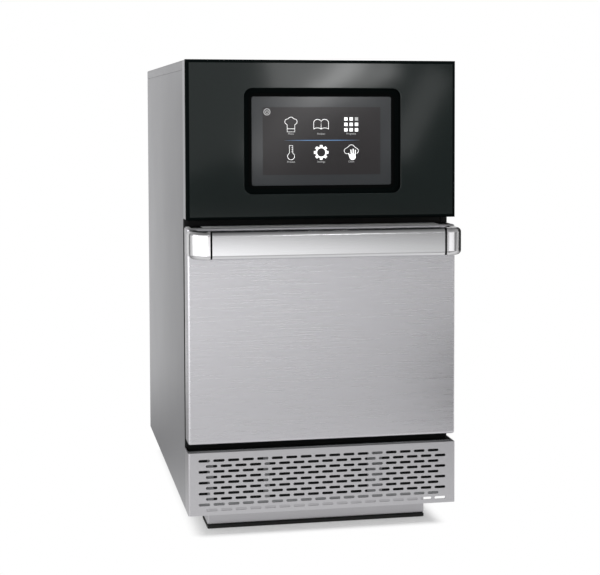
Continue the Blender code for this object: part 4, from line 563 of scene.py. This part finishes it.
# The recess and the bevelled rim are near black: painted shade in the recess and a painted dark reflection on
# the rim, with a fine matte texture, so they show next to no highlight.
recess_and_rim_painted_dark = grained("painted_dark_recess_and_rim", "#050909", 0.7, 0.0008, 0.00005, specular_ior_level=0.02)
fascia.data.materials.append(recess_and_rim_painted_dark)
for face in fascia.data.polygons:
    across, up = abs(face.center.x), abs(face.center.z - SCREEN_Z)
    in_recess = (fascia_low.y + RECESS_LIP < face.center.y < fascia_high.y - RECESS_LIP
                 and across < RECESS_HALF[0] + RECESS_LIP and up < RECESS_HALF[1] + RECESS_LIP)
    on_rim = (-face.normal.y < FACING_FRONT
              and (across > fascia_high.x - FASCIA_BEVEL or up > RECESS_HALF[1] + FASCIA_BEVEL))
    face.material_index = 1 if in_recess or on_rim else 0
# The housing has the side panels' finish, a little brighter.
housing_steel = ground_stainless("ground_stainless_housing", "#D6D6D9", 0.34, "Z", 0.000008, 0.03)
dress(housing_steel, "control_panel_housing")

# Touch screen. A sheet of grey-tinted glass bonded into the recess on a foam gasket, with the lit
# display behind it. The display shows six plain pictures, a thin blue rule and a power mark. They
# are laid on the glass as a film, thin enough to look as if they lay under it.
GLASS_HALF = (0.09275, 0.058)
GLASS_RADIUS = 0.003
GLASS_EDGE = 0.0006
glass_low, glass_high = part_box("touch_glass")
# Tinted glass: dark, with a clear reflection that a faint waviness bends.
glass = grained("grey_tinted_touch_glass", "#2E3032", 0.10, 0.05, 0.0001)
glass_shape = rounded_plate(*GLASS_HALF, GLASS_RADIUS, glass_low.y, glass_high.y)
soften(glass_shape, front_edges(glass_shape, glass_low.y + GLASS_EDGE), GLASS_EDGE, 2)
new_piece("touch_screen_glass", glass_shape, glass, "oven", "touch_glass")
# Closed-cell foam and a moulded plastic case: both dull, the foam the duller.
dress(grained("black_foam_gasket", "#040505", 0.9, 0.0006, 0.0001, specular_ior_level=0.05), "screen_gasket")
dress(grained("black_display_case", "#1A1B1B", 0.55, 0.0010, 0.00004), "display_module")

DISPLAY_HALF = (0.078, 0.044)
FILM = 0.00012
display_front = glass_low.y - FILM
# The display's ground: dark grey, with a weaker reflection than the glass round it.
display_film = grained("lit_display_film", "#272526", 0.13, 0.03, 0.00003, specular_ior_level=0.35)
new_piece("display_picture", rounded_plate(*DISPLAY_HALF, RECESS_LIP, display_front, glass_low.y - FILM / 4),
          display_film, "oven", "display_module", replaces=False)
ICON_LINE = 0.0006
ICON_COLUMNS = (-0.0410, -0.0012, 0.0388)
ICON_ROWS = (0.5365, 0.5000)
icon_front = display_front - FILM
# The pictures' lit lines: even and glowing a little, the grey ones less than the white.
icon_white = grained("display_white", "#E8E8E8", 0.5, 0.0004, 0.000005, emission_strength=0.6,
                     emission_color=(1, 1, 1, 1))
icon_grey = grained("display_grey", "#8C8C8C", 0.5, 0.0004, 0.000005, emission_strength=0.2,
                    emission_color=(1, 1, 1, 1))


def curve_shape(curve):
    """The mesh of a curve or a text as a shape; the curve itself is removed."""
    holder = bpy.data.objects.new(curve.name, curve)
    flat = bpy.data.meshes.new_from_object(holder)
    bpy.data.objects.remove(holder)
    bpy.data.curves.remove(curve)
    shape = bmesh.new()
    shape.from_mesh(flat)
    bpy.data.meshes.remove(flat)
    return shape


def line_shape(strokes, width=ICON_LINE, closed=False):
    """Flat drawn lines, each a run of (x, z) points, as a thin mesh."""
    drawn = bpy.data.curves.new("drawn", "CURVE")
    drawn.dimensions = "3D"
    drawn.bevel_depth = width / 2
    drawn.bevel_resolution = 1
    drawn.use_fill_caps = True
    for stroke in strokes:
        run = drawn.splines.new("POLY")
        run.points.add(len(stroke) - 1)
        for point, (x, z) in zip(run.points, stroke):
            point.co = (x, 0, z, 1)
        run.use_cyclic_u = closed
    shape = curve_shape(drawn)
    bmesh.ops.scale(shape, vec=(1, FILM / width, 1), verts=shape.verts[:])
    return shape


def arc_run(centre, radius, start, end, steps=8, flatten=1.0):
    """Points on an arc, from one angle in degrees to another."""
    points = []
    for step in range(steps + 1):
        angle = math.radians(start + (end - start) * step / steps)
        points.append((centre[0] + radius * math.cos(angle), centre[1] + flatten * radius * math.sin(angle)))
    return points


def patch_shape(across, up, half_width, half_height):
    """A filled rectangle, its middle across and up from the picture's own."""
    return block_shape((across - half_width, -FILM / 2, up - half_height),
                       (across + half_width, FILM / 2, up + half_height))


def show_picture(name, shapes, across, up, material=icon_white):
    """Joins lines and patches drawn about their own middle, and puts them across and up on the display."""
    shape = join_shapes(shapes)
    bmesh.ops.translate(shape, vec=(across, icon_front, up), verts=shape.verts[:])
    new_piece(name, shape, material, "oven", "display_module", replaces=False)


# Chef's hat: three puffs on a straight band.
HAT_SIDE = 0.0050
HAT_FOOT = -0.0096
HAT_BROW = -0.0004
HAT_BAND = -0.0056
hat_outline = ([(-HAT_SIDE, HAT_FOOT), (-HAT_SIDE, HAT_BROW)]
               + arc_run((-0.0045, 0.0036), 0.0036, 250, 95)
               + arc_run((0, 0.0056), 0.0040, 150, 30)
               + arc_run((0.0045, 0.0036), 0.0036, 85, -70)
               + [(HAT_SIDE, HAT_BROW), (HAT_SIDE, HAT_FOOT)])
show_picture("picture_of_chef_hat", [line_shape([hat_outline], closed=True),
                                     line_shape([[(-HAT_SIDE, HAT_BAND), (HAT_SIDE, HAT_BAND)]])],
             ICON_COLUMNS[0], ICON_ROWS[0])

# Open book: two curved pages that meet at the spine.
BOOK_SIDE = 0.0098
book_runs = []
for side in (-1, 1):
    page = ([(0, -0.0062), (0, 0.0038)] + arc_run((0.0047, 0.0022), 0.0050, 160, 20, 6, 0.9)
            + [(BOOK_SIDE, 0.0035), (BOOK_SIDE, -0.0058)]
            + arc_run((0.0049, -0.0070), 0.0050, 20, 160, 6, 0.5))
    book_runs.append([(side * x, z) for x, z in page])
show_picture("picture_of_book", [line_shape(book_runs)], ICON_COLUMNS[1], ICON_ROWS[0])

# Grid of nine squares, one of them dim.
GRID_PITCH = 0.0071
GRID_SQUARE = 0.0022
grid_squares = [patch_shape(column * GRID_PITCH, row * GRID_PITCH, GRID_SQUARE, GRID_SQUARE)
                for column in (-1, 0, 1) for row in (-1, 0, 1) if (column, row) != (1, 1)]
show_picture("picture_of_grid", grid_squares, ICON_COLUMNS[2], ICON_ROWS[0])
show_picture("picture_of_dim_square", [patch_shape(GRID_PITCH, GRID_PITCH, GRID_SQUARE, GRID_SQUARE)],
             ICON_COLUMNS[2], ICON_ROWS[0], icon_grey)

# Thermometer: a round bulb, a straight tube and three marks.
TUBE_SIDE = 0.0022
MARK_INNER = 0.0004
TUBE_TOP = 0.0092
TUBE_MARKS = (0.0010, 0.0036, 0.0062)
glass_tube = [(-TUBE_SIDE, TUBE_TOP), (TUBE_SIDE, TUBE_TOP)] + arc_run((0, -0.0048), 0.0046, 61, -241, 14)
tube_marks = [[(TUBE_SIDE, height), (MARK_INNER, height)] for height in TUBE_MARKS]
show_picture("picture_of_thermometer", [line_shape([glass_tube], closed=True),
                                        line_shape(tube_marks, ICON_LINE * 0.7)],
             ICON_COLUMNS[0], ICON_ROWS[1])

# Toothed wheel: a thick ring with eight teeth.
GEAR_TEETH = 8
GEAR_REACH = 0.0081
GEAR_RADIUS = 0.0065
GEAR_RING = 0.0022
gear_parts = [line_shape([arc_run((0, 0), GEAR_RADIUS, 0, 360, 28)], GEAR_RING, True)]
for tooth in range(GEAR_TEETH):
    tooth_shape = patch_shape(0, GEAR_REACH, 0.0018, 0.0015)
    turn = Matrix.Rotation(math.tau * tooth / GEAR_TEETH, 3, "Y")
    bmesh.ops.rotate(tooth_shape, cent=(0, 0, 0), matrix=turn, verts=tooth_shape.verts[:])
    gear_parts.append(tooth_shape)
show_picture("picture_of_gear", gear_parts, ICON_COLUMNS[1], ICON_ROWS[1])

# Hand that wipes, before a cloud of three puffs.
cloud = (arc_run((-0.0056, 0.0018), 0.0038, 300, 100, 8)
         + arc_run((0.0002, 0.0056), 0.0042, 150, 30, 7)
         + arc_run((0.0058, 0.0018), 0.0038, 80, -70, 8))
PALM = (0.0018, -0.0060)
PALM_RADIUS = 0.0042
FINGER_WIDTH = 0.0014
FINGERS = (     # how far across the palm each one starts, how far it leans in radians, its length
    (-0.0038, -0.30, 0.0050), (-0.0015, -0.08, 0.0096), (0.0008, 0.0, 0.0104), (0.0031, 0.08, 0.0092))
fingers = []
for across, lean, length in FINGERS:
    root = (PALM[0] + across, PALM[1])
    fingers.append([root, (root[0] + math.sin(lean) * length, root[1] + math.cos(lean) * length)])
palm = bmesh.new()
bmesh.ops.create_circle(palm, cap_ends=True, segments=20, radius=PALM_RADIUS)
bmesh.ops.rotate(palm, cent=(0, 0, 0), matrix=Matrix.Rotation(math.pi / 2, 3, "X"), verts=palm.verts[:])
bmesh.ops.translate(palm, vec=(PALM[0], -FILM / 2, PALM[1]), verts=palm.verts[:])
palm_back = raised_points(bmesh.ops.extrude_face_region(palm, geom=palm.faces[:]))
bmesh.ops.translate(palm, vec=(0, FILM, 0), verts=palm_back)
show_picture("picture_of_hand", [line_shape([cloud]), line_shape(fingers, FINGER_WIDTH), palm],
             ICON_COLUMNS[2], ICON_ROWS[1])

# Power mark: a ring round an open circle with a short upright stroke.
POWER_MARK = (-0.0724, 0.5528)
POWER_LINE = 0.0009
show_picture("picture_of_power_mark", [line_shape([arc_run((0, 0), 0.0040, 0, 360, 24)], 0.0012, True),
                                       line_shape([arc_run((0, 0), 0.0020, 120, 420, 14)], POWER_LINE),
                                       line_shape([[(0, 0), (0, 0.0022)]], POWER_LINE)],
             *POWER_MARK, icon_grey)

# Blue rule: a thin line between the rows, bright in its middle and gone at its ends.
RULE_FADE = (0.020, 0.050)      # how far from its middle it starts to fade, and where it is gone
RULE_HALF = (0.0500, 0.0004)
RULE_Z = 0.5158
RULE_GLOW = 0.12
RULE_BLUE = "#5C86B4"
blue_rule, rule_tree, rule_shader, rule_place = start_material("display_blue_rule", RULE_BLUE, 0.4)
rule_shader.inputs["Emission Color"].default_value = linear("#6F9BD8")
rule_split = add_node(rule_tree, "ShaderNodeSeparateXYZ", {}, {0: rule_place})
rule_reach = add_node(rule_tree, "ShaderNodeMath", {"operation": "ABSOLUTE"}, {0: rule_split.outputs[0]})
rule_share = add_node(rule_tree, "ShaderNodeMapRange",
                      {"From Min": RULE_FADE[0], "From Max": RULE_FADE[1], "To Min": 1.0, "To Max": 0.0},
                      {0: rule_reach.outputs[0]})
rule_tone = add_node(rule_tree, "ShaderNodeMix",
                     {"data_type": "RGBA", 6: linear("#353436"), 7: linear(RULE_BLUE)},
                     {0: rule_share.outputs[0]})
rule_glow = add_node(rule_tree, "ShaderNodeMath", {"operation": "MULTIPLY", 1: RULE_GLOW},
                     {0: rule_share.outputs[0]})
rule_tree.links.new(rule_tone.outputs[2], rule_shader.inputs["Base Color"])
rule_tree.links.new(rule_glow.outputs[0], rule_shader.inputs["Emission Strength"])
show_picture("picture_of_blue_rule", [patch_shape(0, 0, *RULE_HALF)], 0, RULE_Z, blue_rule)

CAPTION_HEIGHT = 0.0034
CAPTION_DROP = 0.0122       # from a picture's middle down to its caption
CAPTIONS = (("Menu", "Recipes", "Programs"), ("Preheat", "Settings", "Clean"))


def words_shape(words, across, up):
    """A short caption as a thin mesh that faces the front."""
    text = bpy.data.curves.new("words", "FONT")
    text.body = words
    text.size = CAPTION_HEIGHT
    text.align_x = "CENTER"
    text.align_y = "CENTER"
    text.extrude = FILM / 2
    text.resolution_u = 2
    shape = curve_shape(text)
    bmesh.ops.rotate(shape, cent=(0, 0, 0), matrix=Matrix.Rotation(math.pi / 2, 3, "X"), verts=shape.verts[:])
    bmesh.ops.translate(shape, vec=(across, 0, up), verts=shape.verts[:])
    return shape


show_picture("display_captions", [words_shape(word, column, row - CAPTION_DROP)
                                  for row, words in zip(ICON_ROWS, CAPTIONS)
                                  for column, word in zip(ICON_COLUMNS, words)], 0, 0, icon_grey)

# Door. A pan of ground stainless sheet, its edges folded back over 3 mm bends, closed behind by a
# pressed steel inner panel. The silicone seal, the hinge arms and the latch hooks ride with it.
DOOR_BEND = 0.003
PLUG_ROOM = 0.0003          # the notches round the plugs in the door's top edge are this much wider
PIN_ROOM = 0.001            # each hinge notch starts this far inside its pin's inner end
HINGE_NOTCH_END = 0.1727    # and ends here, beside the hinge arm
HINGE_NOTCH_FRONT = -0.2872
HINGE_NOTCH_TOP = 0.148
CUT_THROUGH = 0.004         # a cutter reaches this far past the sheet
door_low, door_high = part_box("door_outer_skin")
# The door is ground finest of all: fine level lines, and a soft bright sheen across it.
door_steel = ground_stainless("ground_stainless_door", "#DAD9DD", 0.27, "X", 0.000002, 0.014)
door_skin = new_piece("door_skin", pan_shape(door_low, door_high, "y", DOOR_BEND, 6), door_steel, "door",
                      "door_outer_skin", wall=SHEET)
notches = []
for side, sign in (("left", -1), ("right", 1)):
    plug_low, plug_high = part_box("door_top_plug_" + side)
    notches.append(block_shape((plug_low.x - PLUG_ROOM, plug_low.y - PLUG_ROOM, door_high.z - CUT_THROUGH),
                               (plug_high.x + PLUG_ROOM, plug_high.y + PLUG_ROOM, door_high.z + CUT_THROUGH)))
    pin_low, pin_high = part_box("hinge_pin_" + side)
    pin_end = sign * (min(abs(pin_low.x), abs(pin_high.x)) - PIN_ROOM)
    notch_low, notch_high = sorted((pin_end, sign * HINGE_NOTCH_END))
    notches.append(block_shape((notch_low, HINGE_NOTCH_FRONT, door_low.z - CUT_THROUGH),
                               (notch_high, door_high.y + CUT_THROUGH, HINGE_NOTCH_TOP)))
carve(door_skin, join_shapes(notches))
# Its top edge is ground coarser and painted paler than the door's face, a painted highlight, so it looks pale
# from all sides.
door_skin.data.materials.append(ground_stainless("door_top_painted_highlight_steel", "#F4F4F4", 0.80, "X"))
for face in door_skin.data.polygons:
    if face.normal.z > 0.9 and face.center.z > door_high.z - NEAR:
        face.material_index = 1
# The inner panel is ground coarser than the skin, with level streaks that can be made out.
dress(ground_stainless("ground_stainless_inner_door", "#B9BABC", 0.30, "X"), "door_inner_panel")
# Silicone mouldings: the seal is dark grey with a low sheen, the plugs black without any.
dress(grained("moulded_silicone_seal", "#2A2B2C", 0.55, 0.004, 0.00005), "door_seal")
soft_black = grained("soft_black_silicone", "#040505", 0.75, 0.0011, 0.00004, specular_ior_level=0.05)
dress(soft_black, "door_top_plug_left", "door_top_plug_right")
dress(mill_steel, "hinge_arm_left", "hinge_arm_right", "hinge_bracket_left", "hinge_bracket_right",
      "latch_hook_left", "latch_hook_right")
dress(screw_steel, "hinge_pin_left", "hinge_pin_right")

# Handle. A drawn stainless tube between two investment-cast ends, which are ground and polished
# to run on from the tube; a thin black moulded spacer closes each joint.
HANDLE_EDGE = 0.006
HANDLE_CORNER = 0.027
HANDLE_INNER_CORNER = 0.004
HANDLE_ARM = 0.016          # width of the arm that runs back to the door
SEAM_SETBACK = 0.0003       # rounded rims beside the spacers open each joint this much more
SATIN_SCALE = (12, 1500, 1500)  # lines along X, 0.7 mm apart; real ones are 0.1 mm, too fine to show
HAIR = 0.0001               # points this close lie together
# Drawn tube: clear reflections, a little softer in fine lines along its length.
bar_steel, bar_tree, bar_shader, bar_place = start_material("satin_drawn_stainless_tube", "#E6E6E8", 0.13,
                                                            1.0)
bar_stretch = add_node(bar_tree, "ShaderNodeMapping", {"Scale": SATIN_SCALE}, {"Vector": bar_place})
bar_satin = add_node(bar_tree, "ShaderNodeTexNoise", {"Scale": 1.0, "Detail": 2.0},
                     {"Vector": bar_stretch.outputs[0]})
bar_rough = add_node(bar_tree, "ShaderNodeMapRange", {"To Min": 0.11, "To Max": 0.15},
                     {0: bar_satin.outputs[0]})
bar_tree.links.new(bar_rough.outputs[0], bar_shader.inputs["Roughness"])
bar_low, bar_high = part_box("handle_bar")
bar_inset = Vector((SEAM_SETBACK, 0, 0))
bar_shape = block_shape(bar_low + bar_inset, bar_high - bar_inset)
soften(bar_shape, [edge for edge in bar_shape.edges if span(edge, "x") > HANDLE_EDGE], HANDLE_EDGE, 8)
new_piece("handle_tube", bar_shape, bar_steel, "door", "handle_bar")
dress(soft_black, "handle_spacer_left", "handle_spacer_right")
# Polished castings: reflections as clear as the tube's.
cast_steel = ground_stainless("polished_cast_stainless", "#E2E1E3", 0.13, "Z", 0.000001)
for side, sign in (("left", -1), ("right", 1)):
    end_low, end_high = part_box("handle_end_" + side)
    outer_x = sign * max(abs(end_low.x), abs(end_high.x))
    seam_x = sign * (min(abs(end_low.x), abs(end_high.x)) + SEAM_SETBACK)
    arm_x = sign * (abs(outer_x) - HANDLE_ARM)
    end_shape = bmesh.new()
    plan = [end_shape.verts.new((x, y, end_low.z)) for x, y in
            ((seam_x, end_low.y), (outer_x, end_low.y), (outer_x, end_high.y), (arm_x, end_high.y),
             (arm_x, bar_high.y), (seam_x, bar_high.y))]
    foot = end_shape.faces.new(plan)
    raised = raised_points(bmesh.ops.extrude_face_region(end_shape, geom=[foot]))
    bmesh.ops.translate(end_shape, vec=(0, 0, end_high.z - end_low.z), verts=raised)
    for corner, radius, segments in (((outer_x, end_low.y), HANDLE_CORNER, 12),
                                     ((arm_x, bar_high.y), HANDLE_INNER_CORNER, 5)):
        upright = [edge for edge in end_shape.edges
                   if all((vertex.co.xy - Vector(corner)).length < HAIR for vertex in edge.verts)]
        soften(end_shape, upright, radius, segments)
    rims = [edge for edge in end_shape.edges if span(edge, "z") < HAIR
            and not all(abs(vertex.co.x - seam_x) < HAIR for vertex in edge.verts)
            and not all(vertex.co.y > end_high.y - HAIR for vertex in edge.verts)]
    soften(end_shape, rims, HANDLE_EDGE, 8, clamp=False)
    new_piece("handle_casting_" + side, end_shape, cast_steel, "door", "handle_end_" + side,
              smooth_degrees=40)

# Air grille. One stainless sheet folded back at both sides, punched with ten staggered rows of
# slots; it lifts off by hand to wash the aluminium mesh filter that its frame holds behind it.
SLOT_LENGTH = 0.0148
SLOT_HEIGHT = 0.0035
SLOT_PITCH = 0.01908
SLOT_ROW_PITCH = 0.00714
SLOT_TOP_MARGIN = 0.0105
SLOT_ROWS = 10
SLOT_COLUMNS = 17
SLOT_ROUND = 0.48           # the ends' radius, as a share of the height; at half, the two corners would meet
GRILLE_BEND = 0.0025
grille_low, grille_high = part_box("air_grille")
# The grille's streaks run level and are as fine as the side panels'.
grille_steel = ground_stainless("ground_stainless_grille", "#CDCCCF", 0.34, "X", 0.000008, 0.03)
grille_shape = block_shape(grille_low, grille_high)
open_faces = [face for face in grille_shape.faces if abs(face.normal.z) > 0.5 or face.normal.y > 0.5]
bmesh.ops.delete(grille_shape, geom=open_faces, context="FACES_ONLY")
soften(grille_shape, [edge for edge in front_edges(grille_shape, grille_low.y + GRILLE_BEND)
                      if span(edge, "z") > SLOT_LENGTH], GRILLE_BEND, 5)
grille = new_piece("slotted_grille", grille_shape, grille_steel, "air_filter", "air_grille", wall=SHEET)
slots = []
for row in range(SLOT_ROWS):
    slot_z = grille_high.z - SLOT_TOP_MARGIN - row * SLOT_ROW_PITCH
    stagger = (row % 2 - 0.5) * SLOT_PITCH / 2
    for column in range(SLOT_COLUMNS):
        slot_x = stagger + (column - (SLOT_COLUMNS - 1) / 2) * SLOT_PITCH
        slot_shape = block_shape(
            (slot_x - SLOT_LENGTH / 2, grille_low.y - CUT_THROUGH / 2, slot_z - SLOT_HEIGHT / 2),
            (slot_x + SLOT_LENGTH / 2, grille_low.y + CUT_THROUGH, slot_z + SLOT_HEIGHT / 2))
        soften(slot_shape, [edge for edge in slot_shape.edges if span(edge, "y") > CUT_THROUGH],
               SLOT_HEIGHT * SLOT_ROUND, 4)
        slots.append(slot_shape)
carve(grille, join_shapes(slots))
dress(mill_steel, "filter_frame")
# Knitted wire: grey strands round dark gaps. The gaps are about 1.7 mm wide, as in a grease filter.
knitted, knit_tree, knit_shader, knit_place = start_material("knitted_aluminium_mesh", "#3A3B3C", 0.55, 1.0)
knit = add_node(knit_tree, "ShaderNodeTexVoronoi", {"Scale": 600.0, "feature": "DISTANCE_TO_EDGE"},
                {"Vector": knit_place})
knit_tone = add_node(knit_tree, "ShaderNodeValToRGB", {}, {0: knit.outputs["Distance"]})
knit_tone.color_ramp.elements[0].color = linear("#4A4B4C")
knit_tone.color_ramp.elements[1].position = 0.25
knit_tone.color_ramp.elements[1].color = linear("#060606")
knit_tree.links.new(knit_tone.outputs[0], knit_shader.inputs["Base Color"])
knit_bump = add_node(knit_tree, "ShaderNodeBump", {"Strength": 0.8, "Distance": 0.0004, "invert": True},
                     {"Height": knit.outputs["Distance"]})
knit_tree.links.new(knit_bump.outputs[0], knit_shader.inputs["Normal"])
dress(knitted, "filter_mesh")

# Cavity. The cooking space is a welded stainless tube with rounded corners, wrapped in a ceramic
# blanket, with perforated jet plates above and below and a removable coated plate on two runners.
CAVITY_CORNER = 0.011
CAVITY_WALL = 0.001
PLATE_CORNER = 0.010
PLATE_EDGE = 0.0012
liner_low, liner_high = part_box("cavity_liner")
# Cavity sheet: glossier than the casing, its soft streaks running from front to back.
cavity_steel = ground_stainless("bright_cavity_stainless", "#BDBDBE", 0.28, "Y")
liner_shape = block_shape(liner_low, liner_high)
bmesh.ops.delete(liner_shape, geom=[face for face in liner_shape.faces if abs(face.normal.y) > 0.5],
                 context="FACES_ONLY")
soften(liner_shape, [edge for edge in liner_shape.edges if span(edge, "y") > CAVITY_CORNER], CAVITY_CORNER, 8)
new_piece("cavity_tube", liner_shape, cavity_steel, "oven", "cavity_liner", wall=CAVITY_WALL)
dress(cavity_steel, "cavity_rear_wall", "fan_chamber", "convection_fan")
dress(mill_steel, "upper_jet_plate", "lower_jet_plate", "plate_runner_left", "plate_runner_right")
plate_shape = block_shape(*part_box("cook_plate"))
soften(plate_shape, [edge for edge in plate_shape.edges if span(edge, "z") > NEAR], PLATE_CORNER, 6)
soften(plate_shape, [edge for edge in plate_shape.edges if span(edge, "z") < NEAR], PLATE_EDGE, 3)
# Baked non-stick coating: dark and half matte, with paler specks about 1.5 mm apart.
coating, coat_tree, coat_shader, coat_place = start_material("dark_fluoropolymer_coating", "#2B2B2C", 0.42)
speckle = add_node(coat_tree, "ShaderNodeTexNoise", {"Scale": 700.0, "Detail": 2.0}, {"Vector": coat_place})
speckle_tone = add_node(coat_tree, "ShaderNodeValToRGB", {}, {0: speckle.outputs[0]})
speckle_tone.color_ramp.elements[0].position = 0.45
speckle_tone.color_ramp.elements[0].color = linear("#262627")
speckle_tone.color_ramp.elements[1].position = 0.72
speckle_tone.color_ramp.elements[1].color = linear("#57575A")
coat_tree.links.new(speckle_tone.outputs[0], coat_shader.inputs["Base Color"])
new_piece("coated_cook_plate", plate_shape, coating, "oven", "cook_plate")
# Ceramic wool: a pale, dull felt with soft lumps.
dress(grained("ceramic_wool_blanket", "#D8D4C8", 0.90, 0.0045, 0.002), "cavity_insulation", "door_insulation")

# Works inside the casing. The fan motor, the heating coil, the magnetron with its duct, the
# transformer, the capacitor, the cooling fan and the power board can be seen only through the vents.
dress(mill_steel, "waveguide", "transformer_core", "magnetron")
dress(screw_steel, "fan_shaft")
# Moulded nylon: black, with a low satin sheen.
dress(grained("moulded_black_nylon", "#1B1D1D", 0.5, 0.0008, 0.00005),
      "cord_gland", "cooling_fan_frame", "cooling_fan_rotor")
# Heated steel tube: darkened, with brown patches some 15 mm wide.
sheath, heat_tree, heat_shader, heat_place = start_material("heat_darkened_element_sheath", "#4A4340", 0.5,
                                                            1.0)
heat_noise = add_node(heat_tree, "ShaderNodeTexNoise", {"Scale": 60.0}, {"Vector": heat_place})
heat_tone = add_node(heat_tree, "ShaderNodeMix",
                     {"data_type": "RGBA", 6: linear("#3A3432"), 7: linear("#6A5A50")},
                     {0: heat_noise.outputs[0]})
heat_tree.links.new(heat_tone.outputs[2], heat_shader.inputs["Base Color"])
dress(sheath, "heating_element")
# Stove enamel on the motor, drawn aluminium on the capacitor: the one rippled, the other streaked.
dress(grained("grey_stove_enamel", "#6B6D70", 0.45, 0.0025, 0.00008), "convection_motor")
dress(ground_stainless("drawn_aluminium_can", "#D6D7D9", 0.30, "Z"), "capacitor")
# Enamelled copper: the turns lie side by side as fine ridges, 2 mm apart.
wire, wire_tree, wire_shader, wire_place = start_material("enamelled_copper_wire", "#B5653A", 0.35, 1.0)
turns = add_node(wire_tree, "ShaderNodeTexWave", {"Scale": 160.0, "bands_direction": "Z"},
                 {"Vector": wire_place})
wire_bump = add_node(wire_tree, "ShaderNodeBump", {"Strength": 0.7, "Distance": 0.0006},
                     {"Height": turns.outputs[1]})
wire_tree.links.new(wire_bump.outputs[0], wire_shader.inputs["Normal"])
dress(wire, "transformer_winding")
# Solder mask over tracks: green blocks of 8 by 4 mm between darker lines, coarser than real tracks.
board, board_tree, board_shader, board_place = start_material("green_solder_mask_board", "#1D5B38", 0.45)
tracks = add_node(board_tree, "ShaderNodeTexBrick",
                  {"Scale": 60.0, "Color1": linear("#1D5B38"), "Color2": linear("#24693F"),
                   "Mortar": linear("#123F26")}, {"Vector": board_place})
board_tree.links.new(tracks.outputs[0], board_shader.inputs["Base Color"])
dress(board, "power_board")
